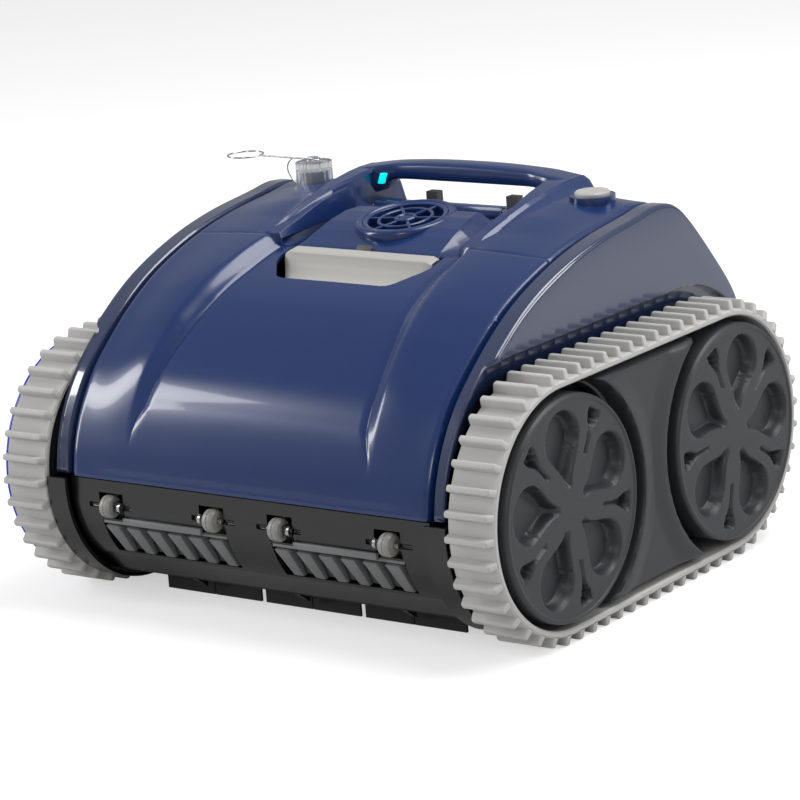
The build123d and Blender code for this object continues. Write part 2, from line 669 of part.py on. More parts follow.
def intake_door():
    """One-way door over an intake hole: lifts when the pump draws."""
    floor = TUB_FLOOR_Z + SHELL_WALL
    x_pair = (INTAKE_INNER_X - 3, INTAKE_OUTER_X + 3)
    plate_z = (floor + DOOR_GAP, floor + DOOR_GAP + DOOR_THICK)
    door = block(x_pair, (DOOR_HINGE_Y, INTAKE_REAR_Y + 3), plate_z)
    door += bar(x_pair[0], x_pair[1], DOOR_HINGE_Y, DOOR_HINGE_Z, 3.2)
    return door - bar(0, 200, DOOR_HINGE_Y, DOOR_HINGE_Z, 1.5 + RUN_FIT)


def door_pins():
    """Hinge pins of the intake doors in their floor brackets."""
    pins = []
    for side in (-1, 1):
        inner, outer = INTAKE_INNER_X - 3, INTAKE_OUTER_X + 3
        pin = bar(inner - 4, outer + 4, DOOR_HINGE_Y, DOOR_HINGE_Z, 1.5)
        for x in (inner - 4.5, outer + 0.5):
            pin += block((x, x + 4), (DOOR_HINGE_Y - 3, DOOR_HINGE_Y + 3),
                         (TUB_FLOOR_Z + SHELL_WALL, DOOR_HINGE_Z + 3))
        pins.append(pin if side > 0 else mirror(pin, about=Plane.YZ))
    return pins


def rubber_flap():
    """Slit rubber blade across the floor, just off the ground."""
    blade = block((-FLAP_HALF, FLAP_HALF), (FLAP_Y - FLAP_THICK / 2, FLAP_Y + FLAP_THICK / 2),
                  (GROUND_CLEAR, TUB_FLOOR_Z))
    third = FLAP_HALF * 2 / 6
    for index, width in ((-2, 1.0), (-1, 4.5), (0, 1.0), (1, 4.5), (2, 1.0)):
        x = index * third
        blade -= block((x - width / 2, x + width / 2), (FLAP_Y - 5, FLAP_Y + 5), (0, 12.0))
    return blade


def flap_clamp():
    clamps = []
    for y_from, y_to in ((FLAP_Y - 5, FLAP_Y - FLAP_THICK / 2), (FLAP_Y + FLAP_THICK / 2, FLAP_Y + 5)):
        clamps.append(block((-FLAP_HALF, FLAP_HALF), (y_from, y_to), (14.0, TUB_FLOOR_Z)))
    return Compound(children=clamps)


# ---------------------------------------------------------------- lid


def lid_dome(inset):
    """Raised dome of the lid: wedge seen from the side, flared at both flanks."""
    side_view = Polygon((LID_FRONT_Y + inset, LID_FRONT_Z - inset), (LID_BROW[0] + inset, LID_BROW[1] - inset),
                        (LID_PEAK[0] - inset, LID_PEAK[1] - inset), (LID_REAR_Y - inset, LID_REAR_Z - inset),
                        align=None)
    wide = LID_HALF_WIDTH - inset
    section = Polygon((-wide, 0), (wide, 0), (wide - LID_FLARE, LID_DOME), (LID_FLARE - wide, LID_DOME),
                      align=None)
    slope = degrees(atan2(LID_REAR_Z - LID_FRONT_Z, LID_REAR_Y - LID_FRONT_Y))
    ridge = Pos(0, -20, 0) * extrude(Plane.XZ * section, amount=140, dir=(0, 1, 0))
    ridge = Pos(0, LID_FRONT_Y, LID_FRONT_Z - inset) * Rot(slope, 0, 0) * ridge
    return across(side_view, -LID_HALF_WIDTH, LID_HALF_WIDTH) & ridge


def lid():
    """Domed lid with a tilted boss for the outlet grille and two hinge knuckles."""
    shell = lid_dome(0) - lid_dome(LID_WALL)
    boss = GRILLE_PLACE * (Pos(0, 0, -7) * Cylinder(GRILLE_R, 14))
    bore = GRILLE_PLACE * (Pos(0, 0, -10) * Cylinder(GRILLE_BORE_R, 40))
    shell = shell + boss - bore
    for side in (-1, 1):
        x_pair = sorted((side * 44.0, side * 58.0))
        shell += block(x_pair, (LID_REAR_Y - 6.0, LID_HINGE_Y), (LID_HINGE_Z - 4.0, LID_HINGE_Z + 0.5))
        shell += bar(x_pair[0], x_pair[1], LID_HINGE_Y, LID_HINGE_Z, LID_HINGE_R + 2.0)
        lug_x = sorted((side * PULL_LUG_X, side * (PULL_LUG_X + 4.0)))
        shell += block(lug_x, (PULL_PIVOT_Y - 2.4, LID_FRONT_Y), (SEAT_Z + 0.6, 242.8))
        shell += block(lug_x, (LID_FRONT_Y - 0.8, LID_FRONT_Y + 2.5), (SEAT_Z + 0.6, 245.5))
    shell -= bar(-80, 80, PULL_PIVOT_Y, PULL_PIVOT_Z, PULL_PIN_R)
    return shell - bar(-80, 80, LID_HINGE_Y, LID_HINGE_Z, LID_HINGE_R + RUN_FIT)


GRILLE_PLACE = Pos(0, GRILLE_Y, GRILLE_TOP_Z) * Rot(GRILLE_TILT, 0, 0)


def outlet_grille():
    """Round grille: rims, hub, six spokes and a centre screw head."""
    rim = Circle(GRILLE_BORE_R) - Circle(GRILLE_BORE_R - 3.0)
    middle = Circle(21.0) - Circle(19.0)
    flat = rim + middle + Circle(7.0)
    for index in range(6):
        flat += Rot(0, 0, index * 60) * Pos(GRILLE_BORE_R / 2, 0) * Rectangle(GRILLE_BORE_R - 4, 2.0)
    grille = extrude(flat, amount=3.0, dir=(0, 0, -1)) + Pos(0, 0, 0.5) * Cylinder(3.0, 1.0)
    return GRILLE_PLACE * Pos(0, 0, -1.0) * grille


def lid_hinge_pins():
    """Fixed pins and brackets that carry the lid's knuckles."""
    pins = []
    for side in (-1, 1):
        x_pair = sorted((side * 42.0, side * 62.0))
        pin = bar(x_pair[0], x_pair[1], LID_HINGE_Y, LID_HINGE_Z, LID_HINGE_R)
        foot_x = sorted((side * 59.0, side * 62.0))
        pin += block(foot_x, (LID_HINGE_Y - 1, LID_HINGE_Y + HINGE_FOOT), (SEAT_Z, LID_HINGE_Z + 4))
        pins.append(pin)
    return pins


def latch_tab():
    """Small square catch let into the lid's front edge."""
    return block((-6.5, 6.5), (LID_FRONT_Y - 1.2, LID_FRONT_Y), (SEAT_Z + 2.4, 246.0))


def pull_handle():
    """Scooped finger pull hung on the lid's front edge by two barrels."""
    scoop = make_face(Curve() + [
        Line((-28.7, 247.2), (-42.0, 245.4)),
        Line((-42.0, 245.4), (-42.6, 243.0)),
        ThreePointArc((-42.6, 243.0), (-53.0, 233.6), (-69.0, 228.8)),
        Line((-69.0, 228.8), (-69.0, 226.2)),
        ThreePointArc((-69.0, 226.2), (-51.5, 230.8), (-39.6, 241.8)),
        Line((-39.6, 241.8), (-39.2, 242.8)),
        Line((-39.2, 242.8), (-28.7, 244.2)),
        Line((-28.7, 244.2), (-28.7, 247.2)),
    ])
    plan = extrude(Pos(0, 0, 200) * recess_outline(BODY_GAP), amount=100, dir=(0, 0, 1))
    handle = across(scoop, -RECESS_TOP_HALF, RECESS_TOP_HALF) & plan
    for side in (-1, 1):
        handle += bar(side * (PULL_LUG_X - 18.0), side * (PULL_LUG_X - 0.5),
                      PULL_PIVOT_Y, PULL_PIVOT_Z, PULL_BARREL_R)
    return handle - bar(-80, 80, PULL_PIVOT_Y, PULL_PIVOT_Z, PULL_PIN_R + RUN_FIT)


def pull_pins():
    """Two pins held in the lid's lugs, one for each end of the pull handle."""
    pins = []
    for side in (-1, 1):
        pins.append(bar(side * (PULL_LUG_X - 17.0), side * (PULL_LUG_X + 4.0),
                        PULL_PIVOT_Y, PULL_PIVOT_Z, PULL_PIN_R))
    return Compound(children=pins)


# ---------------------------------------------------------------- filter and pump
def filter_basket():
    """Open-topped basket with windowed walls and a centre tube for the pump duct."""
    tube_r = DUCT_BORE_R + DUCT_WALL + BODY_GAP
    outer = block((-BASKET_HALF, BASKET_HALF), (BASKET_FRONT_Y, BASKET_REAR_Y), (BASKET_FLOOR_Z, SEAT_Z))
    wall = BASKET_WALL
    inner = block((-BASKET_HALF + wall, BASKET_HALF - wall), (BASKET_FRONT_Y + wall, BASKET_REAR_Y - wall),
                  (BASKET_FLOOR_Z + wall, SEAT_Z + 1))
    basket = outer - inner
    rim = block((-BASKET_HALF - BASKET_RIM, BASKET_HALF + BASKET_RIM),
                (BASKET_FRONT_Y - BASKET_RIM, BASKET_REAR_Y + BASKET_RIM), (SEAT_Z, SEAT_Z + 1.6))
    basket += rim - block((-BASKET_HALF + wall, BASKET_HALF - wall),
                          (BASKET_FRONT_Y + wall, BASKET_REAR_Y - wall), (SEAT_Z - 1, SEAT_Z + 3))
    basket += post(0, GRILLE_Y, BASKET_FLOOR_Z, BASKET_TUBE_TOP_Z, tube_r + wall)
    basket -= post(0, GRILLE_Y, BASKET_FLOOR_Z - 1, BASKET_TUBE_TOP_Z + 1, tube_r)
    for x in (-50, -18, 18, 50):
        basket -= block((x - 13, x + 13), (-100, BASKET_FRONT_Y + wall + 0.1), (145, 225))
        basket -= block((x - 13, x + 13), (BASKET_REAR_Y - wall - 0.1, 100), (145, 225))
    for y in (2, 42):
        basket -= block((-100, -BASKET_HALF + wall + 0.1), (y - 14, y + 14), (145, 225))
        basket -= block((BASKET_HALF - wall - 0.1, 100), (y - 14, y + 14), (145, 225))
    for x in (-55, 55):
        basket -= block((x - 10, x + 10), (BASKET_FRONT_Y + 8, BASKET_REAR_Y - 8), (120, 140))
    return basket


def intake_duct():
    """Rectangular duct from the floor's intakes up to the basket, with its top deck."""
    x_half, front, top = 100.0, -26.0, 126.0
    wall = SHELL_WALL
    rear = GRILLE_Y + DUCT_BORE_R + DUCT_WALL + wall + DUCT_GAP
    duct = block((-x_half, x_half), (front, rear), (TUB_FLOOR_Z + wall, top + wall))
    duct -= block((-x_half + wall, x_half - wall), (front + wall, rear - wall), (0, top))
    duct -= post(0, GRILLE_Y, top - 1, top + 4, DUCT_BORE_R + DUCT_WALL)
    for side in (-1, 1):
        x_pair = sorted((side * 45.0, side * 65.0))
        duct -= block(x_pair, (BASKET_FRONT_Y + 8, 50), (top - 1, top + 4))
    return duct


def pump_duct():
    """Closed-bottom tube that the motor stands in and the impeller lifts through."""
    duct = post(0, GRILLE_Y, DUCT_FLOOR_Z, DUCT_TOP_Z, DUCT_BORE_R + DUCT_WALL)
    duct -= post(0, GRILLE_Y, DUCT_FLOOR_Z + SHELL_WALL, DUCT_TOP_Z + 1, DUCT_BORE_R)
    for angle in (0, 90):
        slot = Pos(0, GRILLE_Y, 175) * Rot(0, 0, 45 + angle) * Box(100, 22, 30)
        duct -= slot
    return duct


def pump_motor():
    motor = post(0, GRILLE_Y, DUCT_FLOOR_Z + SHELL_WALL, MOTOR_TOP_Z, 20.0)
    motor += post(0, GRILLE_Y, DUCT_FLOOR_Z + SHELL_WALL, DUCT_FLOOR_Z + 6, DUCT_BORE_R)
    return motor - post(0, GRILLE_Y, MOTOR_TOP_Z - 16, MOTOR_TOP_Z + 1, PUMP_SHAFT_R + RUN_FIT)


def impeller():
    """Four-bladed axial impeller on its shaft."""
    wheel = post(0, GRILLE_Y, MOTOR_TOP_Z - 14, 224, PUMP_SHAFT_R) + post(0, GRILLE_Y, 204, 222, 9.0)
    for index in range(4):
        blade = Pos(IMPELLER_R / 2 + 2, 0, 0) * Rot(35, 0, 0) * Box(IMPELLER_R - 4, 2.0, 17.0)
        wheel += Pos(0, GRILLE_Y, 213) * Rot(0, 0, index * 90) * blade
    return wheel & post(0, GRILLE_Y, 100, 240, IMPELLER_R)


def battery_pack():
    half, top_z, corner_r = 110.0, 92.0, 6.0
    pack = block((-half, half), (66, 138), (TUB_FLOOR_Z + SHELL_WALL, top_z))
    return fillet(pack.edges().filter_by(Axis.Z), corner_r)


def control_box():
    half, top_z, corner_r = 95.0, 74.0, 5.0
    box = block((-half, half), (-132, -42), (TUB_FLOOR_Z + SHELL_WALL, top_z))
    return fillet(box.edges().filter_by(Axis.Z), corner_r)


# ---------------------------------------------------------------- port, button and trim


def charge_port():
    """Socket body through the rear shell: seat flange above, open throat."""
    step_z, throat_z, pin_z = 264.0, 262.0, 272.0
    port = post(-POST_X, POST_Y, PORT_LOW_Z, PORT_TOP_Z, PORT_NECK_R)
    port += post(-POST_X, POST_Y, PORT_LOW_Z, step_z, PORT_BODY_R)
    port += post(-POST_X, POST_Y, PORT_SEAT_Z, PORT_SEAT_TOP_Z, CAP_R + 1.2)
    round_port = post(-POST_X, POST_Y, step_z, PORT_TOP_Z + 1.0, 4 * PORT_BODY_R + BODY_GAP)
    round_port -= post(-POST_X, POST_Y, PORT_LOW_Z, PORT_TOP_Z + 2.0, PORT_BODY_R)
    port -= across(HULL, -HULL_HALF, 0) & round_port
    port -= post(-POST_X, POST_Y, throat_z, PORT_TOP_Z + 1.0, PORT_THROAT_R)
    return port + post(-POST_X, POST_Y, throat_z, pin_z, PORT_PIN_R)


def port_cap():
    """Clear ribbed cap with a knob, a quarter turn from closed to free."""
    cap = post(-POST_X, POST_Y, CAP_LOW_Z, CAP_TOP_Z, CAP_R)
    cap -= post(-POST_X, POST_Y, CAP_LOW_Z - 1, PORT_TOP_Z + 1.2, PORT_NECK_R + CAP_PLAY)
    for index in range(CAP_RIBS):
        place = Pos(-POST_X, POST_Y, (CAP_LOW_Z + CAP_TOP_Z) / 2) * Rot(0, 0, index * 360 / CAP_RIBS)
        cap -= place * Pos(CAP_R + 0.3, 0, 0) * Cylinder(CAP_RIB_R, 30)
    return cap + post(-POST_X, POST_Y, CAP_TOP_Z, KNOB_TOP_Z, KNOB_R)


def keeper_wire():
    """Stiff wire keeper: an eye round the knob, a straight shank and an open ring."""
    z = CAP_TOP_Z + 1.6
    eye_r = KNOB_R + 0.4 + WIRE_R
    wire = Pos(-POST_X, POST_Y, z) * Torus(eye_r, WIRE_R)
    reach = hypot(RING_X + POST_X, RING_Y - POST_Y)
    turn = degrees(atan2(RING_Y - POST_Y, RING_X + POST_X))
    start, end = eye_r, reach - RING_R
    shank = Pos((start + end) / 2, 0, 0) * Rot(0, 90, 0) * Cylinder(WIRE_R, end - start)
    wire += Pos(-POST_X, POST_Y, z) * Rot(0, 0, turn) * shank
    wire += Pos(RING_X, RING_Y, z) * Torus(RING_R, WIRE_R)
    leg_path = ThreePointArc((CAP_R + 5.0, 0, z), (CAP_R + 7.0, 0, z - 11.0), (CAP_R + 2.0, 0, CAP_LOW_Z - 1.0))
    leg = sweep(Plane(leg_path @ 0, z_dir=leg_path % 0) * Circle(WIRE_R), path=leg_path)
    return wire + Pos(-POST_X, POST_Y, 0) * Rot(0, 0, turn) * leg


def button_collar():
    """Ring on the deck with a sleeve through the shell and a stop for the button."""
    sleeve_z = (250.0, BUTTON_LOW_Z - BUTTON_TRAVEL - 0.5)
    collar = post(POST_X, POST_Y, sleeve_z[0], COLLAR_TOP_Z, COLLAR_R)
    hull_above = across(HULL, 0, HULL_HALF) & block((0, 300), (0, 300), (200, 300))
    collar -= hull_above - post(POST_X, POST_Y, 0, 400, BUTTON_GUIDE_R)
    collar -= post(POST_X, POST_Y, 240, 290, BUTTON_R + BUTTON_PLAY)
    collar += post(POST_X, POST_Y, *sleeve_z, BUTTON_GUIDE_R)
    return collar - post(POST_X, POST_Y, 240, 290, BUTTON_R - BUTTON_STEP)


def power_button():
    """Domed push button; its travel ends on the guide's step."""
    button = post(POST_X, POST_Y, BUTTON_LOW_Z, BUTTON_TOP_Z, BUTTON_R)
    return chamfer(button.edges().group_by(Axis.Z)[-1], BUTTON_EDGE)


def led_window():
    """Status light let into the handle's left inner corner."""
    return block((-77.0, -71.0), (HANDLE_FRONT_Y - 1.0, HANDLE_FRONT_Y), (271.0, 279.0))


def rear_clips():
    """Two square clips behind the lid that lock the rear shell down."""
    clips = [block((x - 5, x + 5), (106, 114), (DECK_FLOOR_Z, 262.5)) for x in (-37.2, 37.2)]
    return Compound(children=clips)


def hull_gasket():
    strips = []
    for side in (-1, 1):
        x_pair = sorted((side * (HULL_HALF - SHELL_WALL), side * HULL_HALF))
        strips.append(block(x_pair, (TUB_FRONT_Y, TUB_REAR_Y), (TUB_TOP_Z, SILL_Z)) - axle_holes())
    return Compound(children=strips)


def floor_screws():
    screws = []
    for x in (-HULL_HALF + 14, -40, 40, HULL_HALF - 14):
        for y in (-100, TUB_REAR_Y - 14):
            screws.append(post(x, y, TUB_FLOOR_Z - 2.5, TUB_FLOOR_Z, 4.0))
    return Compound(children=screws)


# ---------------------------------------------------------------- write every node
save("chassis_tub", chassis_tub())
save("front_bumper", front_bumper())
save("rear_bumper", rear_bumper())
save("front_shell", front_shell())
save("rear_shell", rear_shell())
save("carry_handle", carry_handle())
save("basket_seat", basket_seat())
save("wheel_axles", wheel_axles())
save("belt_band_left", belt_band())
save("roller_pins", roller_pins())
save("hinge_pins", Compound(children=door_pins() + lid_hinge_pins()))
save("rubber_flap", rubber_flap())
save("flap_clamp", flap_clamp())
save("lid", lid())
save("outlet_grille", outlet_grille())
save("latch_tab", latch_tab())
save("pull_handle", pull_handle())
save("pull_pins", pull_pins())
save("filter_basket", filter_basket())
save("intake_duct", intake_duct())
save("pump_duct", pump_duct())
save("pump_motor", pump_motor())
save("impeller", impeller())
save("battery_pack", battery_pack())
save("control_box", control_box())
save("charge_port", charge_port())
save("port_cap", port_cap())
save("keeper_wire", keeper_wire())
save("button_collar", button_collar())
save("power_button", power_button())
save("led_window", led_window())
save("rear_clips", rear_clips())
save("hull_gasket", hull_gasket())
save("floor_screws", floor_screws())

MIRRORED = {
    "side_panel": side_panel(),
    "side_frame": side_frame(),
    "track_belt": track_belt(),
    "track_cover": track_cover(),
    "drive_gear": drive_gear(),
    "drive_pinion": drive_pinion(),
    "drive_motor": drive_motor(),
    "vent_grille": vent_grille(),
    "intake_door": intake_door(),
    "front_wheel": track_wheel(-WHEEL_HALF),
    "rear_wheel": track_wheel(WHEEL_HALF),
}
for name, piece in MIRRORED.items():
    for side, part in both_sides(piece).items():
        save(name + "_" + side, part)

for number, (x, _) in enumerate(roller_places(), start=1):
    save("front_roller_" + str(number), front_roller(x))
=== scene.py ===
"""Tracked robotic pool cleaner: visible shells, tracks, wheels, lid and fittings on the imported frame."""
import json
from math import atan2, cos, hypot, pi, radians, sin, sqrt

import bmesh
import bpy
from mathutils import Matrix, Vector


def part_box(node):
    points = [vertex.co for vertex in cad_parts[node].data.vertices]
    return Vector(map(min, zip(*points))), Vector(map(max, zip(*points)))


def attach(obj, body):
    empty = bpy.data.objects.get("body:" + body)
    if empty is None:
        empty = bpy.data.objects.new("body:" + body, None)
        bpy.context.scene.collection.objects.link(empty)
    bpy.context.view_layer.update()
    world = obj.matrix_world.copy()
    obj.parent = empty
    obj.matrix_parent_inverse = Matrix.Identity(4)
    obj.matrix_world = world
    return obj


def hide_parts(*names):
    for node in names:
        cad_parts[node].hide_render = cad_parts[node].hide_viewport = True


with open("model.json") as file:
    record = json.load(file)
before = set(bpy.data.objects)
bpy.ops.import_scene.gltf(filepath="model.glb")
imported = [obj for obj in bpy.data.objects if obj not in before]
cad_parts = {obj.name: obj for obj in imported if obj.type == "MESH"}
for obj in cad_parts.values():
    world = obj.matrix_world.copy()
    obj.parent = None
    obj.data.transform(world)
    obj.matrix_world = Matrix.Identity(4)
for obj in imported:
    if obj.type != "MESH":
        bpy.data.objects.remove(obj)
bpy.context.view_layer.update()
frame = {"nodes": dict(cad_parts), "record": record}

MM = 0.001
nodes = frame["nodes"]


def box_mm(name):
    """Lowest and highest corners of a CAD node, in millimetres."""
    return [[round(value / MM, 3) for value in corner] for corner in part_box(name)]


def middle_mm(name):
    """Middle of a CAD node, in millimetres."""
    return [(a + b) / 2 for a, b in zip(*box_mm(name))]


# Driving places, in millimetres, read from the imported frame.
HULL_HALF = box_mm("rear_shell")[1][0]
SEAM_Y = box_mm("rear_shell")[0][1]
SIDE_X = box_mm("side_panel_right")[1][0]
WHEEL_Y, WHEEL_Z = middle_mm("rear_wheel_right")[1:]
FACE_X = box_mm("rear_wheel_right")[1][0]
BELT_IN, BELT_OUT = [corner[0] for corner in box_mm("track_belt_right")]
PULL_Y, PULL_Z = middle_mm("pull_pins")[1:]
KNOB_X, KNOB_Y = middle_mm("port_cap")[:2]

# Sizes that several pieces share.
ARCH_R = 104.0          # edge of the side panel round the belt
GAP_R = 87.0            # edge of the track cover round a wheel
WALL_X = 174.0          # recessed wall behind the belts
SKIN = 2.6              # wall of the shells and the lid
LID_HINGE_Y, LID_HINGE_Z = 66.0, 257.0


# ---------------------------------------------------------------- small maths
def smooth(low, high, value):
    """Soft step from 0 at low to 1 at high."""
    t = min(1.0, max(0.0, (value - low) / (high - low)))
    return t * t * (3 - 2 * t)


def mix(a, b, t):
    """Value a share t of the way from a to b."""
    return a + (b - a) * t


def follow(table, key):
    """Straight-line reading of a table of (key, value) pairs."""
    if key <= table[0][0]:
        return table[0][1]
    for (k0, v0), (k1, v1) in zip(table, table[1:]):
        if key <= k1:
            return mix(v0, v1, (key - k0) / (k1 - k0))
    return table[-1][1]


def curve_through(points, steps):
    """Smooth run of points through a few chosen ones."""
    run = []
    count = len(points)
    for index in range(count - 1):
        p0 = Vector(points[max(0, index - 1)])
        p1, p2 = Vector(points[index]), Vector(points[index + 1])
        p3 = Vector(points[min(count - 1, index + 2)])
        for step in range(steps):
            t = step / steps
            run.append(0.5 * ((2 * p1) + (p2 - p0) * t + (2 * p0 - 5 * p1 + 4 * p2 - p3) * t ** 2
                              + (3 * p1 - 3 * p2 + p3 - p0) * t ** 3))
    run.append(Vector(points[-1]))
    return run


class Profile:
    """A run of (y, z) points read by its share of length, with its outward direction."""

    def __init__(self, points):
        self.points = points
        self.reach = [0.0]
        for a, b in zip(points, points[1:]):
            self.reach.append(self.reach[-1] + (b - a).length)

    def at(self, share):
        want = share * self.reach[-1]
        index = 1
        while index < len(self.reach) - 1 and self.reach[index] < want:
            index += 1
        span = self.reach[index] - self.reach[index - 1]
        t = (want - self.reach[index - 1]) / span
        place = self.points[index - 1].lerp(self.points[index], t)
        ahead = self.points[min(index + 1, len(self.points) - 1)] - self.points[max(index - 2, 0)]
        ahead.normalize()
        return place, Vector((-ahead.y, ahead.x))


HULL_LINE = Profile(curve_through([
    (-191.5, 104), (-187.0, 127), (-178, 149), (-164.8, 169.5), (-148, 187), (-115, 212.5), (-80, 232.5),
    (-36, 248.6), (8.5, 258.7), (58, 264.6), (90, 267.6), (118, 258), (160, 214.4), (186, 180), (196, 145),
    (192, 104)], 8))


def split_at(profile, y_split):
    """Two profiles, before and after a y on the way over the top."""
    front = [p for p in profile.points if p.x < y_split]
    back = [p for p in profile.points if p.x >= y_split]
    t = (y_split - front[-1].x) / (back[0].x - front[-1].x)
    joint = front[-1].lerp(back[0], t)
    return Profile(front + [joint]), Profile([joint] + back)


FRONT_LINE, REAR_LINE = split_at(HULL_LINE, SEAM_Y)


# ---------------------------------------------------------------- shader groups
def new_group(name, inputs, outputs):
    """Empty node group with number sockets, and its input and output nodes."""
    group = bpy.data.node_groups.new(name, "ShaderNodeTree")
    for label, value in inputs:
        socket = group.interface.new_socket(label, in_out="INPUT", socket_type="NodeSocketFloat")
        socket.default_value = value
    for label in outputs:
        group.interface.new_socket(label, in_out="OUTPUT", socket_type="NodeSocketFloat")
    return group, group.nodes.new("NodeGroupInput"), group.nodes.new("NodeGroupOutput")


def node(tree, kind, **values):
    """New node with its settings."""
    made = tree.nodes.new(kind)
    for key, value in values.items():
        setattr(made, key, value)
    return made


def maths(tree, operation, first, second):
    """Math node on two sockets or numbers, given as its output."""
    made = node(tree, "ShaderNodeMath", operation=operation)
    for socket, value in zip(made.inputs, (first, second)):
        if isinstance(value, (int, float)):
            socket.default_value = value
        else:
            tree.links.new(value, socket)
    return made.outputs[0]


def make_moulding_grain():
    """Fine moulded texture: a height and a roughness variation."""
    group, given, out = new_group("moulding_grain", [("Scale", 900.0), ("Depth", 1.0), ("Mottle", 0.1)],
                                  ["Height", "Roughness", "Tone"])
    place = node(group, "ShaderNodeTexCoord").outputs["Object"]
    fine = node(group, "ShaderNodeTexNoise")
    fine.inputs["Detail"].default_value = 3.0
    group.links.new(place, fine.inputs["Vector"])
    group.links.new(given.outputs["Scale"], fine.inputs["Scale"])
    broad = node(group, "ShaderNodeTexNoise")
    broad.inputs["Scale"].default_value = 22.0
    broad.inputs["Detail"].default_value = 5.0
    broad.inputs["Roughness"].default_value = 0.6
    group.links.new(place, broad.inputs["Vector"])
    height = maths(group, "MULTIPLY", fine.outputs["Fac"], given.outputs["Depth"])
    group.links.new(height, out.inputs["Height"])
    swing = maths(group, "SUBTRACT", broad.outputs["Fac"], 0.5)
    group.links.new(maths(group, "MULTIPLY", swing, given.outputs["Mottle"]), out.inputs["Roughness"])
    tone = maths(group, "ADD", maths(group, "MULTIPLY", swing, 0.5), 0.5)
    group.links.new(tone, out.inputs["Tone"])
    return group


def make_scuff_marks():
    """Sparse hairline scuffs as a mask from 0 to 1."""
    group, given, out = new_group("scuff_marks", [("Scale", 60.0), ("Amount", 0.5)], ["Mask"])
    place = node(group, "ShaderNodeTexCoord").outputs["Object"]
    streak = node(group, "ShaderNodeMapping")
    streak.inputs["Rotation"].default_value = (0.5, 0.9, 0.3)
    streak.inputs["Scale"].default_value = (1.0, 14.0, 2.0)
    group.links.new(place, streak.inputs["Vector"])
    lines = node(group, "ShaderNodeTexNoise")
    lines.inputs["Detail"].default_value = 2.0
    group.links.new(streak.outputs[0], lines.inputs["Vector"])
    group.links.new(given.outputs["Scale"], lines.inputs["Scale"])
    patch = node(group, "ShaderNodeTexNoise")
    patch.inputs["Scale"].default_value = 14.0
    group.links.new(place, patch.inputs["Vector"])
    edge = node(group, "ShaderNodeMapRange")
    edge.inputs["From Min"].default_value = 0.63
    edge.inputs["From Max"].default_value = 0.72
    group.links.new(lines.outputs["Fac"], edge.inputs["Value"])
    where = node(group, "ShaderNodeMapRange")
    where.inputs["From Min"].default_value = 0.5
    where.inputs["From Max"].default_value = 0.65
    group.links.new(patch.outputs["Fac"], where.inputs["Value"])
    both = maths(group, "MULTIPLY", edge.outputs[0], where.outputs[0])
    group.links.new(maths(group, "MULTIPLY", both, given.outputs["Amount"]), out.inputs["Mask"])
    return group


GRAIN = make_moulding_grain()
SCUFF = make_scuff_marks()


def finish(name, colour, rough, metallic=0.0, coat=0.0, grain=900.0, bump=0.05, mottle=0.08, scuff=0.3,
           shade=0.82, light=1.12, specular=0.5):
    """A moulded, rubber or metal finish with grain, mottling and scuffs."""
    material = bpy.data.materials.new(name)
    material.use_nodes = True
    tree = material.node_tree
    shader = tree.nodes["Principled BSDF"]
    shader.inputs["Metallic"].default_value = metallic
    shader.inputs["Coat Weight"].default_value = coat
    shader.inputs["Coat Roughness"].default_value = 0.04
    shader.inputs["Specular IOR Level"].default_value = specular
    texture = node(tree, "ShaderNodeGroup", node_tree=GRAIN)
    texture.inputs["Scale"].default_value = grain
    texture.inputs["Mottle"].default_value = mottle
    marks = node(tree, "ShaderNodeGroup", node_tree=SCUFF)
    marks.inputs["Amount"].default_value = scuff
    tones = node(tree, "ShaderNodeMix", data_type="RGBA")
    tree.links.new(texture.outputs["Tone"], tones.inputs["Factor"])
    tones.inputs["A"].default_value = [c * shade for c in colour] + [1]
    tones.inputs["B"].default_value = [min(1, c * light) for c in colour] + [1]
    worn = node(tree, "ShaderNodeMix", data_type="RGBA")
    tree.links.new(maths(tree, "MULTIPLY", marks.outputs["Mask"], 0.35), worn.inputs["Factor"])
    tree.links.new(tones.outputs["Result"], worn.inputs["A"])
    worn.inputs["B"].default_value = [min(1, c * 1.6 + 0.05) for c in colour] + [1]
    tree.links.new(worn.outputs["Result"], shader.inputs["Base Color"])
    base = maths(tree, "ADD", texture.outputs["Roughness"], rough)
    tree.links.new(maths(tree, "ADD", base, maths(tree, "MULTIPLY", marks.outputs["Mask"], 0.15)),
                   shader.inputs["Roughness"])
    relief = node(tree, "ShaderNodeBump")
    relief.inputs["Strength"].default_value = bump
    relief.inputs["Distance"].default_value = 0.0004
    tree.links.new(texture.outputs["Height"], relief.inputs["Height"])
    tree.links.new(relief.outputs["Normal"], shader.inputs["Normal"])
    return material


def clear_finish(name):
    """Clear polycarbonate."""
    material = finish(name, (0.93, 0.96, 1.0), 0.06, bump=0.02, mottle=0.03, scuff=0.1, shade=0.97,
                      light=1.0)
    shader = material.node_tree.nodes["Principled BSDF"]
    shader.inputs["Transmission Weight"].default_value = 0.92
    shader.inputs["IOR"].default_value = 1.5
    return material


def lit_finish(name):
    """Lit status window."""
    material = finish(name, (0.0, 0.7, 0.72), 0.25, bump=0.03)
    shader = material.node_tree.nodes["Principled BSDF"]
    shader.inputs["Emission Color"].default_value = (0.0, 0.85, 0.85, 1)
    shader.inputs["Emission Strength"].default_value = 0.9
    return material


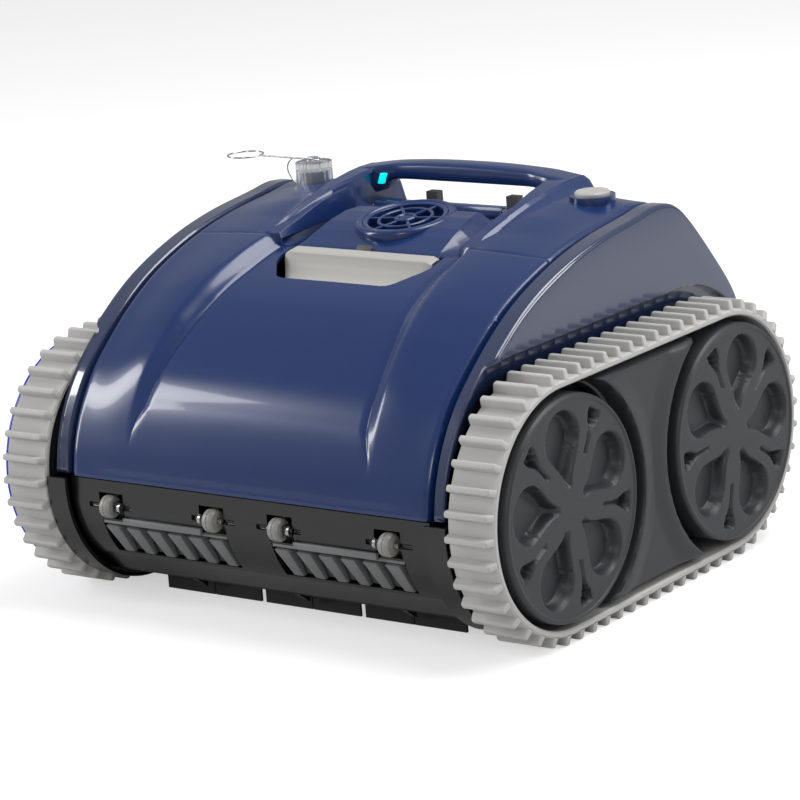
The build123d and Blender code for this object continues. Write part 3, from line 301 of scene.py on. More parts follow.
FINISHES = {
    "hull_blue": finish("navy_gloss", (0.0065, 0.026, 0.115), 0.24, coat=0.3, grain=500, bump=0.02,
                        mottle=0.05, scuff=0.12, shade=0.92, light=1.06),
    # Side panels: the shell's own navy, made greyer. The grey is a painted reflection of the surroundings on
    # their side faces, and the full coat adds real gloss on top.
    "panel_blue": finish("navy_gloss_painted_grey_reflection", (0.018, 0.031, 0.085), 0.2, coat=1.0, grain=500, bump=0.02,
                         mottle=0.05, scuff=0.1, shade=0.94, light=1.05),
    "black_plastic": finish("black_gloss", (0.005, 0.005, 0.0055), 0.24, coat=0.3, bump=0.05, scuff=0.25),
    "wheel_grey": finish("charcoal_satin", (0.024, 0.026, 0.030), 0.42, grain=1400, bump=0.12, scuff=0.2,
                         shade=0.9, light=1.08),
    "belt_rubber": finish("pale_rubber", (0.47, 0.465, 0.455), 0.62, grain=1600, bump=0.22, mottle=0.15,
                          scuff=0.2, shade=0.9, light=1.06, specular=0.35),
    "band_blue": finish("bright_blue", (0.01, 0.05, 0.75), 0.35),
    "roller_grey": finish("roller_grey", (0.27, 0.265, 0.25), 0.36, bump=0.1),
    "louvre_grey": finish("louvre_grey", (0.16, 0.162, 0.166), 0.38, grain=1300, bump=0.12, scuff=0.2),
    "pull_grey": finish("warm_grey", (0.43, 0.42, 0.40), 0.42, grain=1300, bump=0.1, mottle=0.06,
                        scuff=0.12, shade=0.95, light=1.04),
    "clip_grey": finish("clip_grey", (0.075, 0.076, 0.074), 0.5, bump=0.1),
    "clear_plastic": clear_finish("clear_cap"),
    "steel": finish("bright_steel", (0.5, 0.5, 0.51), 0.25, metallic=1.0, bump=0.05, grain=1800),
    "acetal": finish("acetal", (0.68, 0.66, 0.6), 0.4, bump=0.08),
    "motor_metal": finish("motor_zinc", (0.3, 0.3, 0.31), 0.4, metallic=0.9, bump=0.1),
    "mesh_grey": finish("basket_grey", (0.2, 0.205, 0.21), 0.5, bump=0.15),
    "battery_wrap": finish("battery_wrap", (0.03, 0.11, 0.05), 0.3, coat=0.3),
    "led": lit_finish("status_light"),
    "rubber_black": finish("black_rubber", (0.014, 0.014, 0.014), 0.6, bump=0.2, grain=1500),
}

for part in frame["record"]["subparts"]:
    piece = nodes[part["node"]]
    chosen = FINISHES[part["material_slot"]]
    if not piece.material_slots:
        piece.data.materials.append(chosen)
    for place in piece.material_slots:
        place.material = chosen


# ---------------------------------------------------------------- piece helpers
def crease(bm, angle=32.0):
    """Smooth faces, with hard edges where two faces meet at more than an angle."""
    for face in bm.faces:
        face.smooth = True
    for edge in bm.edges:
        edge.smooth = edge.calc_face_angle(0.0) < radians(angle)


def piece_from(name, bm, finish_name, body, replaced=(), wall=0.0, edge=0.0, angle=32.0, outwards=True):
    """Turn a bmesh drawn in millimetres into a finished piece riding on a body."""
    bmesh.ops.remove_doubles(bm, verts=bm.verts, dist=0.002)
    if outwards:
        bmesh.ops.recalc_face_normals(bm, faces=bm.faces)
    bmesh.ops.scale(bm, vec=(MM, MM, MM), verts=bm.verts)
    crease(bm, angle)
    mesh = bpy.data.meshes.new(name)
    bm.to_mesh(mesh)
    bm.free()
    piece = bpy.data.objects.new(name, mesh)
    bpy.context.scene.collection.objects.link(piece)
    mesh.materials.append(FINISHES[finish_name])
    if wall:
        shell = piece.modifiers.new("wall", "SOLIDIFY")
        shell.thickness = wall * MM
        shell.offset = -1
    if edge:
        soften = piece.modifiers.new("edge", "BEVEL")
        soften.width = edge * MM
        soften.segments = 2
        soften.limit_method = "ANGLE"
        soften.angle_limit = radians(40)
        soften.harden_normals = False
    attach(piece, body)
    if replaced:
        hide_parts(*replaced)
    return piece


def grid(across, along, cuts=(), gone=None):
    """A flat grid with u and v from 0 to 1, cut along lines and opened where gone says."""
    bm = bmesh.new()
    bmesh.ops.create_grid(bm, x_segments=across, y_segments=along, size=0.5)
    bmesh.ops.translate(bm, vec=(0.5, 0.5, 0), verts=bm.verts)
    for place, across_line in cuts:
        bmesh.ops.bisect_plane(bm, geom=bm.verts[:] + bm.edges[:] + bm.faces[:], dist=1e-6,
                               plane_co=(place[0], place[1], 0),
                               plane_no=(across_line[0], across_line[1], 0))
    if gone:
        faces = [face for face in bm.faces if gone(face.calc_center_median())]
        bmesh.ops.delete(bm, geom=faces, context="FACES")
    return bm


def shape(bm, place):
    """Move every point of a flat grid to place(u, v)."""
    for vert in bm.verts:
        vert.co = Vector(place(vert.co.x, vert.co.y))
    return bm


def face_up(bm, towards):
    """Turn an open skin so that its faces look towards a direction."""
    bmesh.ops.recalc_face_normals(bm, faces=bm.faces)
    total = sum((face.normal * face.calc_area() for face in bm.faces), Vector())
    if total.dot(Vector(towards)) < 0:
        bmesh.ops.reverse_faces(bm, faces=bm.faces)
    return bm


def mirrored(bm):
    """The same shape on the left side."""
    twin = bm.copy()
    bmesh.ops.scale(twin, vec=(-1, 1, 1), verts=twin.verts)
    bmesh.ops.reverse_faces(twin, faces=twin.faces)
    return twin


def join(bm, other):
    """Add one bmesh to another."""
    mesh = bpy.data.meshes.new("joined")
    other.to_mesh(mesh)
    bm.from_mesh(mesh)
    other.free()
    bpy.data.meshes.remove(mesh)
    return bm


def rod(bm, start, end, radius, segments=20):
    """A round bar between two points."""
    start, end = Vector(start), Vector(end)
    run = end - start
    turn = run.to_track_quat("Z", "Y").to_matrix().to_4x4()
    place = Matrix.Translation((start + end) / 2) @ turn
    bmesh.ops.create_cone(bm, cap_ends=True, segments=segments, radius1=radius, radius2=radius,
                          depth=run.length, matrix=place)


def brick(bm, low, high, round_by=0.0, segments=2):
    """A box between two corners with rounded edges."""
    size = [b - a for a, b in zip(low, high)]
    middle = [(a + b) / 2 for a, b in zip(low, high)]
    place = Matrix.Translation(middle) @ Matrix.Diagonal((*size, 1))
    made = bmesh.ops.create_cube(bm, size=1.0, matrix=place)["verts"]
    if round_by:
        edges = list({edge for vert in made for edge in vert.link_edges})
        bmesh.ops.bevel(bm, geom=edges, offset=round_by, segments=segments, profile=0.5, affect="EDGES",
                        material=-1)


def turned(profile, centre, axis="Z", segments=96):
    """A shape turned from a run of (radius, height) points about an axis through a centre."""
    bm = bmesh.new()
    line = [bm.verts.new((radius, 0, height)) for radius, height in profile]
    edges = [bm.edges.new(pair) for pair in zip(line, line[1:])]
    bmesh.ops.spin(bm, geom=line + edges, cent=(0, 0, 0), axis=(0, 0, 1), angle=2 * pi, steps=segments,
                   use_merge=True, use_duplicate=False)
    bmesh.ops.remove_doubles(bm, verts=bm.verts, dist=0.001)
    bmesh.ops.recalc_face_normals(bm, faces=bm.faces)
    if axis == "X":
        bmesh.ops.rotate(bm, cent=(0, 0, 0), matrix=Matrix.Rotation(radians(90), 3, "Y"), verts=bm.verts)
    bmesh.ops.translate(bm, vec=centre, verts=bm.verts)
    return bm


# ---------------------------------------------------------------- hull shells
# Tables of (y, value): how far out the two lines of a groove run, how high the crown beside it
# stands, how deep the middle dips, and where the groove fades in.
GROOVE_OUT = [(-192, 113.2), (-183.3, 112.4), (-171.3, 111.2), (-150.8, 108.9), (-122.6, 106),
              (-93.1, 103.3), (-60.7, 98.4), (-26.2, 93.7)]
GROOVE_IN = [(-192, 109), (-182.3, 105.5), (-173.5, 98.8), (-151.4, 94.8), (-125, 89.5), (-99.7, 84.4),
             (-66.6, 80.5), (-28, 80)]
CROWN = [(-192, 0.0), (-183, 0.6), (-171, 2.2), (-150, 5.2), (-122, 7.6), (-93, 7.0), (-60, 4.8),
         (-26, 3.0), (2, 3.5), (28, 6.5), (60, 7.5), (95, 4.0), (115, 1.5), (150, 0.0)]
DIP = [(-100, 0.0), (-66, -2.6), (-28, -5.2)]
GROOVE_START = [(-186, 0.0), (-172, 1.0)]
CROWN_FROM_Z = 110.0
REAR_CROWN_X = 104.0
TROUGH_DEPTH, TROUGH_HALF = 1.0, 2.2
RIM_R = 5.0
SKIRT = 16.0            # how far the shells run down inside the side panels
WELL_HALF = 81.0        # the lid's well in the deck
WELL_REAR_Y = 70.2
DECK_Z = 250.0


def shell_rise(x, y, z):
    """How far the shell stands out from its side profile at a place across it."""
    width = abs(x)
    outer = follow(GROOVE_OUT, y)
    crown = follow(CROWN, y) if z > CROWN_FROM_Z else 0.0
    if y > SEAM_Y:
        outer = REAR_CROWN_X
    side = 1.0 - smooth(outer, HULL_HALF, width) ** 1.2
    rise = crown * side
    if y <= SEAM_Y and width < outer:
        inner = follow(GROOVE_IN, y)
        deep = follow(GROOVE_START, y)
        bulge = 0.6 * max(0.0, 1 - (width / inner) ** 2)
        step = smooth(inner, outer, width) if width > inner else 0.0
        rise = mix(rise, mix(follow(DIP, y) + bulge, rise, step), deep)
        trough = max(0.0, 1 - abs(width - inner - 1.0) / TROUGH_HALF)
        rise -= TROUGH_DEPTH * trough * deep
    rim = max(0.0, (width - (HULL_HALF - RIM_R)) / RIM_R)
    return rise - RIM_R * (1 - sqrt(max(0.0, 1 - min(1.0, rim) ** 2)))


def rounded_corners(corners, radius, steps=3):
    """A corner list with each corner cut by short lines of a rounding."""
    points = []
    count = len(corners)
    for index, corner in enumerate(corners):
        here = Vector(corner)
        before = (Vector(corners[index - 1]) - here).normalized() * radius
        after = (Vector(corners[(index + 1) % count]) - here).normalized() * radius
        for step in range(steps + 1):
            t = step / steps
            points.append(here + before * (1 - t) ** 2 + after * t ** 2)
    return points


def inside(points, x, y):
    """True if a place is inside a closed outline of any turn."""
    odd = False
    for a, b in zip(points, points[1:] + points[:1]):
        if (a.y > y) != (b.y > y) and x < a.x + (b.x - a.x) * (y - a.y) / (b.y - a.y):
            odd = not odd
    return odd


def share_at(profile, y):
    """Share of length at which a profile first reaches a y."""
    for index, point in enumerate(profile.points):
        if point.x >= y:
            before = profile.points[index - 1]
            t = (y - before.x) / (point.x - before.x)
            return mix(profile.reach[index - 1], profile.reach[index], t) / profile.reach[-1]
    return 1.0


SPAN = HULL_HALF + SKIRT
COLUMNS = 160
INNER_SHARE, OUTER_SHARE, EDGE_SHARE = 34 / 80, 48 / 80, 74 / 80


def column_keys(y):
    """Share of the half grid against distance across, so that columns follow the grooves."""
    inner, outer = WELL_HALF, REAR_CROWN_X
    if y <= SEAM_Y:
        inner, outer = follow(GROOVE_IN, y), follow(GROOVE_OUT, y)
    return [(0.0, 0.0), (INNER_SHARE, inner), (OUTER_SHARE, outer), (EDGE_SHARE, HULL_HALF), (1.0, SPAN)]


def across_at(u, y):
    """Distance across the shell of a grid column."""
    half = u * 2 - 1
    return (1 if half >= 0 else -1) * follow(column_keys(y), abs(half))


def column_at(x, y):
    """Grid column of a distance across the shell."""
    back = [(value, key) for key, value in column_keys(y)]
    return (1 + (1 if x >= 0 else -1) * follow(back, abs(x))) / 2


def shell_place(profile, share, u):
    """A point on the outside of a shell; past the side edge it runs down the side wall."""
    place, out = profile.at(share)
    x = across_at(u, place.x)
    width = min(abs(x), HULL_HALF)
    rise = shell_rise(width, place.x, place.y)
    down = abs(x) - HULL_HALF
    if down > 0:
        rise -= down
    spot = place + out * rise
    return (width if x > 0 else -width, spot.x, spot.y)


PULL_RECESS = [(-69, -20), (69, -20), (69, -48), (51, -73.5), (-51, -73.5), (-69, -48)]
RECESS_CORNER_R = 7.0
PAST_THE_SEAM = 1.2


def front_shell():
    """Front of the hull, with the recess for the finger pull cut out of its upper edge."""
    shared = []
    for corner in rounded_corners(PULL_RECESS, RECESS_CORNER_R):
        share = share_at(FRONT_LINE, corner.y) if corner.y < SEAM_Y else PAST_THE_SEAM
        shared.append(Vector((column_at(corner.x, min(corner.y, SEAM_Y)), share)))
    cuts = []
    for a, b in zip(shared, shared[1:] + shared[:1]):
        if a.y < 1.0 or b.y < 1.0:
            cuts.append((a, (b.y - a.y, a.x - b.x)))
    bm = grid(COLUMNS, 90, cuts, lambda p: inside(shared, p.x, p.y))
    shape(bm, lambda u, v: shell_place(FRONT_LINE, v, u))
    face_up(bm, (0, -1, 1))
    return piece_from("front_shell_skin", bm, "hull_blue", "hull", ["front_shell"], wall=SKIN, edge=0.5,
                      outwards=False)


def rear_shell():
    """Deck and tail; the middle is open for the lid and sinks to the deck behind it."""
    open_to = share_at(REAR_LINE, WELL_REAR_Y)
    left, right = [column_at(x, 0.0) for x in (-WELL_HALF, WELL_HALF)]
    cuts = [((left, 0), (1, 0)), ((right, 0), (1, 0)), ((0, open_to), (0, 1))]

    def place(u, v):
        spot = Vector(shell_place(REAR_LINE, v, u))
        width = abs(spot.x)
        if width <= WELL_HALF + 0.5 and spot.z > DECK_Z:
            spot.z = mix(DECK_Z, spot.z, smooth(WELL_HALF - 0.5, WELL_HALF + 1.5, width))
        return spot

    bm = grid(COLUMNS, 120, cuts, lambda p: left < p.x < right and p.y < open_to)
    shape(bm, place)
    face_up(bm, (0, 1, 2))
    return piece_from("rear_shell_skin", bm, "hull_blue", "hull", ["rear_shell"], wall=SKIN, edge=0.5,
                      outwards=False)


# ---------------------------------------------------------------- rails and carry handle
# Tables of (y, value) along a rail: its top, and its inner and outer upper edges.
RAIL_TOP = [(-27, 252.4), (-3.8, 262.2), (11, 266.6), (25.5, 270.4), (42, 274.2), (62.5, 277.6),
            (83, 280.2), (97, 281.2), (119, 281.0)]
RAIL_IN = [(-27, 93.7), (-3.8, 91.2), (11.1, 90.1), (25.5, 88.9), (42, 86.9), (62.5, 83.6), (97, 80)]
RAIL_OUT = [(-27, 97), (-3.8, 96.5), (25.5, 98), (60, 99.5), (97, 100)]
RAIL_END_Y = 140.0
RAIL_FOOT_X = 110.5
DECK_BESIDE_LID_Z = 243.0
HANDLE_FRONT, HANDLE_REAR = 95.0, 119.0
BAR_HALF, HAND_HALF = 96.0, 84.0
BAR_TOP, BAR_END_TOP = 287.3, 280.8
BAR_UNDER, BAR_END_UNDER = 272.0, 259.0


def squared(value, power):
    """A power of a sine or cosine that keeps its sign; under 1 it makes a round section squarer."""
    return abs(value) ** power * (1 if value >= 0 else -1)


def rail_section(y, u):
    """Place across a rail from the deck floor inside, over the top, to the shell outside."""
    top = follow(RAIL_TOP, y)
    hull = HULL_LINE.at(share_at(HULL_LINE, y))[0].y
    top = mix(top, hull - 4.0, smooth(114, 139, y))
    inner, outer = follow(RAIL_IN, y), follow(RAIL_OUT, y)
    base_in = min(DECK_BESIDE_LID_Z, hull - 8.0)
    base_out = min(hull + follow(CROWN, y) - 0.6, top - 0.4)
    corners = [(WELL_HALF, base_in), (mix(WELL_HALF, inner, 0.97), top - 2.2), (inner + 1.6, top),
               (outer - 2.5, top - 0.3), (outer + 1.0, top - 2.6), (RAIL_FOOT_X, base_out),
               (RAIL_FOOT_X + 0.5, base_out - 5.0)]
    want = u * (len(corners) - 1)
    index = min(int(want), len(corners) - 2)
    t = want - index
    a, b = corners[index], corners[index + 1]
    return mix(a[0], b[0], t), mix(a[1], b[1], t)


def carry_handle():
    """Two rails that rise along the deck and a bar arched between them."""
    def rail(u, v):
        y = mix(SEAM_Y + 0.4, RAIL_END_Y, v)
        x, z = rail_section(y, u)
        return x, y, z

    bm = shape(grid(24, 70), rail)
    ends = [edge for edge in bm.edges if edge.is_boundary]
    bmesh.ops.holes_fill(bm, edges=ends, sides=0)
    bmesh.ops.triangulate(bm, faces=[face for face in bm.faces if len(face.verts) > 4])
    join(bm, mirrored(bm))

    def bar(u, v):
        x = mix(-BAR_HALF, BAR_HALF, u)
        out = abs(x) / HAND_HALF
        top = mix(BAR_TOP, BAR_END_TOP, abs(x / BAR_HALF) ** 2.5)
        under = mix(BAR_UNDER, BAR_END_UNDER, smooth(0.74, 1.04, out) ** 1.3)
        front = HANDLE_FRONT + 1.0 - 5.0 * smooth(0.7, 1.0, out)
        angle = v * 2 * pi
        squareness = mix(0.62, 0.35, smooth(0.6, 0.95, out))
        wide = (HANDLE_REAR - front) / 2 * squared(cos(angle), squareness)
        tall = (top - under) / 2 * squared(sin(angle), squareness)
        return x, (front + HANDLE_REAR) / 2 + wide, (top + under) / 2 + tall

    arch = shape(grid(96, 48), bar)
    bmesh.ops.remove_doubles(arch, verts=arch.verts, dist=0.01)
    join(bm, arch)
    bmesh.ops.holes_fill(bm, edges=[edge for edge in bm.edges if edge.is_boundary], sides=0)
    return piece_from("carry_handle_skin", bm, "hull_blue", "hull", ["carry_handle"], edge=0.6, angle=28)


# ---------------------------------------------------------------- side panels
PANEL_IN_R = 82.0
PANEL_EDGE_X, PANEL_NECK_X = 166.5, 163.0


def side_panel(side):
    """Glossy side cheek: flat face, rounded upper edge, recessed wall behind the belt."""
    rows = [("wall", 0), ("wall", 1), ("step", 0), ("face", 0), ("face", 0.5), ("face", 1)]
    rows += [("round", t / 5) for t in range(1, 6)] + [("edge", 0), ("edge", 1), ("neck", 1)]
    last = len(rows) - 1

    def place(u, v):
        spot, out = HULL_LINE.at(mix(0.002, 0.998, u))
        core = Vector((min(WHEEL_Y, max(-WHEEL_Y, spot.x)), WHEEL_Z))
        ray = spot - core
        reach = ray.length
        ray.normalize()
        kind, t = rows[int(round(v * last))]
        lifted = smooth(ARCH_R + 0.5, ARCH_R + 5.0, reach)
        face_x = mix(WALL_X, SIDE_X, lifted)
        rim = min(3.4, max(1.0, (reach - ARCH_R) * 0.5)) if lifted else 1.0
        edge_at = min(ARCH_R, reach - 2.0)
        if kind == "wall":
            r, x = mix(min(PANEL_IN_R, reach - 3.0), edge_at, t), WALL_X
        elif kind == "step":
            r, x = edge_at + 0.3, face_x - 0.8
        elif kind == "face":
            r, x = mix(edge_at + 1.2, reach - rim, t), face_x
        elif kind == "round":
            angle = t * pi / 2
            r, x = reach - rim + rim * sin(angle), face_x - rim + rim * cos(angle)
        elif kind == "edge":
            r, x = reach, mix(face_x - rim - 0.4, PANEL_EDGE_X, t)
        else:
            r, x = reach - 5.0, PANEL_NECK_X
        flat = core + ray * r
        return x, flat.x, flat.y

    bm = shape(grid(150, last), place)
    face_up(bm, (1, 0, 0))
    if side == "left":
        bm = mirrored(bm)
    return piece_from("side_panel_skin_" + side, bm, "panel_blue", "hull", ["side_panel_" + side], wall=2.0,
                      angle=35, outwards=False)


# ---------------------------------------------------------------- tracks
BAR_COUNT = 60
BELT_R = 90.0           # foot of the cross bars
BAR_TALL, BAR_HALF_WIDE = 7.0, 2.9
BAR_TAPER, BAR_CUT_BACK, BAR_NOSE_R = 0.82, 1.6, 1.5
BAND_IN_R, BAND_EDGE = 85.1, 1.2


def track_point(distance, radius):
    """Place and outward direction at a distance round the belt's oval, from over the front wheel."""
    arc = pi * radius
    base = 2 * WHEEL_Y
    distance %= 2 * base + 2 * arc
    if distance < base:
        return -WHEEL_Y + distance, WHEEL_Z + radius, pi / 2
    distance -= base
    if distance < arc:
        turn = pi / 2 - distance / radius
        return WHEEL_Y + radius * cos(turn), WHEEL_Z + radius * sin(turn), turn
    distance -= arc
    if distance < base:
        return WHEEL_Y - distance, WHEEL_Z - radius, -pi / 2
    turn = -pi / 2 - (distance - base) / radius
    return -WHEEL_Y + radius * cos(turn), WHEEL_Z + radius * sin(turn), turn


def track_belt(side):
    """Endless rubber belt with round-nosed cross bars that are cut back at both ends."""
    pitch = (4 * WHEEL_Y + 2 * pi * BELT_R) / BAR_COUNT
    middle = (BELT_IN + BELT_OUT) / 2
    bm = bmesh.new()
    for index in range(BAR_COUNT):
        y, z, turn = track_point((index + 0.5) * pitch, BELT_R)
        bar = bmesh.new()
        brick(bar, (BELT_IN, -0.6, -BAR_HALF_WIDE), (BELT_OUT - 0.2, BAR_TALL, BAR_HALF_WIDE))
        for vert in bar.verts:
            if vert.co.y > BAR_TALL - 0.1:
                vert.co.z *= BAR_TAPER
                vert.co.x += BAR_CUT_BACK if vert.co.x < middle else -BAR_CUT_BACK
        top = [edge for edge in bar.edges if max(v.co.y for v in edge.verts) > BAR_TALL - 1.0]
        bmesh.ops.bevel(bar, geom=top, offset=BAR_NOSE_R, segments=3, profile=0.5, affect="EDGES",
                        material=-1)
        base = [face for face in bar.faces if face.normal.y < -0.9]
        bmesh.ops.delete(bar, geom=base, context="FACES_ONLY")
        for vert in bar.verts:
            height, along = vert.co.y, vert.co.z
            vert.co = Vector((vert.co.x, y + height * cos(turn) + along * sin(turn),
                              z + height * sin(turn) - along * cos(turn)))
        join(bm, bar)

    near, far = BELT_IN + BAND_EDGE, BELT_OUT - BAND_EDGE
    section = [(BELT_IN, 86.2), (BELT_IN, 88.6), (near, BELT_R - 0.1), (far, BELT_R - 0.1), (BELT_OUT, 88.6),
               (BELT_OUT, 86.2), (far, BAND_IN_R), (near, BAND_IN_R), (BELT_IN, 86.2)]

    def band(u, v):
        x, radius = section[int(round(v * (len(section) - 1)))]
        y, z, _ = track_point(u * (4 * WHEEL_Y + 2 * pi * radius) * 0.9999999, radius)
        return x, y, z

    loop_skin = shape(grid(240, len(section) - 1), band)
    bmesh.ops.remove_doubles(loop_skin, verts=loop_skin.verts, dist=0.01)
    join(bm, loop_skin)
    bmesh.ops.recalc_face_normals(bm, faces=bm.faces)
    if side == "left":
        bm = mirrored(bm)
    return piece_from("track_rubber_" + side, bm, "belt_rubber", "hull", ["track_belt_" + side], angle=40)


# ---------------------------------------------------------------- wheels
POCKETS = 5
POCKET_DEPTH = 9.9
POCKET_AT, POCKET_R, NECK_HALF = 51.5, 20.5, 4.0
SLOT_FROM, SLOT_TO = 38.0, 71.5
FACE_R = 76.5
BEAD = 0.9              # how far the rim's bead stands out from the disc
WHEEL_RIM = [(76.4, 0.1), (77.0, 0.6), (78.0, BEAD), (79.2, 0.5), (80.0, -0.7), (80.4, -2.4), (80.4, -39.0),
             (FACE_R, -39.0), (FACE_R, -12.5), (74.0, -11.0)]
WHEEL_HUB = [(16.5, -11.0), (16.0, -12.0), (16.0, -60.0), (8.1, -60.0), (8.1, -11.5), (0.05, -11.5)]


def pocket_share(along, aside):
    """Depth, from 0 to 1, of a round pocket that necks in towards the hub."""
    half = mix(NECK_HALF, POCKET_R, smooth(18, POCKET_AT, along))
    d = hypot(along - POCKET_AT, aside) - POCKET_R if along > POCKET_AT else aside - half
    return (1 - smooth(-3.6, 0.3, d)) * smooth(14, 27, along)


def slot_share(along, aside):
    """Depth, from 0 to 1, of a slot that widens towards the rim."""
    half = 2.0 + 4.6 * smooth(54, 68, along)
    d = max(aside - half, SLOT_FROM - along, along - SLOT_TO)
    return mix(0.3, 0.8, smooth(50, 60, along)) * (1 - smooth(-2.4, 0.4, d))


def pocket_depth(r, angle, first):
    """Depth of the wheel's face at a place, with the first pocket at an angle in degrees."""
    deepest = 0.0
    for index in range(2 * POCKETS):
        turn = angle - radians(first + 180 / POCKETS * index)
        along, aside = r * cos(turn), abs(r * sin(turn))
        if along > 0:
            share = slot_share if index % 2 else pocket_share
            deepest = max(deepest, share(along, aside))
    return POCKET_DEPTH * deepest


def track_wheel(name, side, y, first):
    """Spoked wheel disc with a beaded rim and a hub."""
    disc = [(0.05, 0.0)] + [(1.1 * step, 0.0) for step in range(1, 70)]
    bm = turned(disc + WHEEL_RIM + WHEEL_HUB, (0, 0, 0), "Z", 240)
    for vert in bm.verts:
        r = hypot(vert.co.x, vert.co.y)
        if vert.co.z > -0.05 and r < FACE_R:
            vert.co.z -= pocket_depth(r, atan2(vert.co.y, vert.co.x), first)
    bmesh.ops.recalc_face_normals(bm, faces=bm.faces)
    turn = Matrix(((0, 0, 1), (1, 0, 0), (0, 1, 0)))
    bmesh.ops.rotate(bm, cent=(0, 0, 0), matrix=turn, verts=bm.verts)
    bmesh.ops.translate(bm, vec=(FACE_X - BEAD, y, WHEEL_Z), verts=bm.verts)
    if side == "left":
        bm = mirrored(bm)
    wheel = name + "_" + side
    return piece_from(name + "_skin_" + side, bm, "wheel_grey", wheel, [wheel], angle=50)


COVER_HALF_TALL = 83.0
COVER_BACK_X = 198.0
COVER_LEDGE_X = 202.0
COVER_POST_Z, COVER_POST_R = 55.0, 7.0


def track_cover(side):
    """Waisted cover between the wheels: hollow flanks and a full middle column."""
    low, high = WHEEL_Z - COVER_HALF_TALL, WHEEL_Z + COVER_HALF_TALL

    def reach(y, z):
        return min(hypot(y + WHEEL_Y, z - WHEEL_Z), hypot(y - WHEEL_Y, z - WHEEL_Z))

    def place(u, v):
        z = mix(low, high, v)
        wide = WHEEL_Y - sqrt(GAP_R ** 2 - (z - WHEEL_Z) ** 2)
        y = (u * 2 - 1) * wide
        lift = reach(y, z)
        x = COVER_LEDGE_X + 7.0 * smooth(GAP_R, GAP_R + 2.0, lift)
        x += 13.6 * smooth(GAP_R + 3.0, GAP_R + 6.6, lift)
        x -= 3.4 * smooth(GAP_R + 7, GAP_R + 26, lift)
        x -= 5.0 * smooth(high - 5, high, z) + 5.0 * smooth(low + 5, low, z)
        if abs(u - 0.5) > 0.4999 or v < 0.0001 or v > 0.9999:
            x = COVER_BACK_X
        return x, y, z

    bm = shape(grid(80, 80), place)
    face_up(bm, (1, 0, 0))
    for z in (WHEEL_Z - COVER_POST_Z, WHEEL_Z + COVER_POST_Z):
        rod(bm, (WALL_X + 0.5, 0, z), (212, 0, z), COVER_POST_R, 24)
    if side == "left":
        bm = mirrored(bm)
    return piece_from("track_cover_skin_" + side, bm, "wheel_grey", "hull", ["track_cover_" + side],
                      wall=2.0, angle=38, outwards=False)


front_shell()
rear_shell()
carry_handle()
for side in ("left", "right"):
    side_panel(side)
    track_belt(side)
    track_wheel("front_wheel", side, -WHEEL_Y, first=98)
    track_wheel("rear_wheel", side, WHEEL_Y, first=76)
    track_cover(side)


# ---------------------------------------------------------------- lid
GRILLE_Y, GRILLE_TOP, GRILLE_TILT = 22.0, 263.6, 7.7
LID_FRONT_Y, LID_REAR_Y = -25.3, 60.0
LID_HALF = 79.0
LID_FOOT_Z, LID_REAR_FOOT_Z = 243.4, 251.5
LID_COLUMN_SHARE = 0.8
BOSS_OPENING_R = 34.0
HOOD_HALF, HOOD_R = 58.2, 6.4
PLATE_TILT = 38.0


def tipped(bm, angle, place):
    """Tip a shape about the X direction through the origin, then carry it to its place."""
    bmesh.ops.rotate(bm, cent=(0, 0, 0), matrix=Matrix.Rotation(radians(angle), 3, "X"), verts=bm.verts)
    bmesh.ops.translate(bm, vec=place, verts=bm.verts)
    return bm


def tilted(bm):
    """Place a shape drawn about the grille's axis on the tilted boss."""
    return tipped(bm, GRILLE_TILT, (0, GRILLE_Y, GRILLE_TOP))


# Tables of (y, value): half width of the lid's flat top, and its height.
LID_EDGE = [(LID_FRONT_Y, 64.0), (-21.7, 61.8), (-4.5, 60.9), (7.6, 59.8), (24.4, 57.1), (37.9, 53.9),
            (LID_REAR_Y, 50.0)]
LID_TOP = [(LID_FRONT_Y, 244.6), (-24.2, 246.8), (-21.7, 248.0), (-13.4, 251.5), (-4.5, 255.4), (7.6, 259.8),
           (24.4, 264.0), (37.9, 265.0), (44, 264.2), (52, 259), (LID_REAR_Y, 252.6)]


def lid_across(u, y):
    """Distance across the lid of a grid column; one column follows the sharp upper edge."""
    half = u * 2 - 1
    edge = follow(LID_EDGE, y)
    keys = [(0.0, 0.0), (LID_COLUMN_SHARE - 0.05, edge - 2.0), (LID_COLUMN_SHARE, edge), (1.0, LID_HALF)]
    return (1 if half >= 0 else -1) * follow(keys, abs(half))


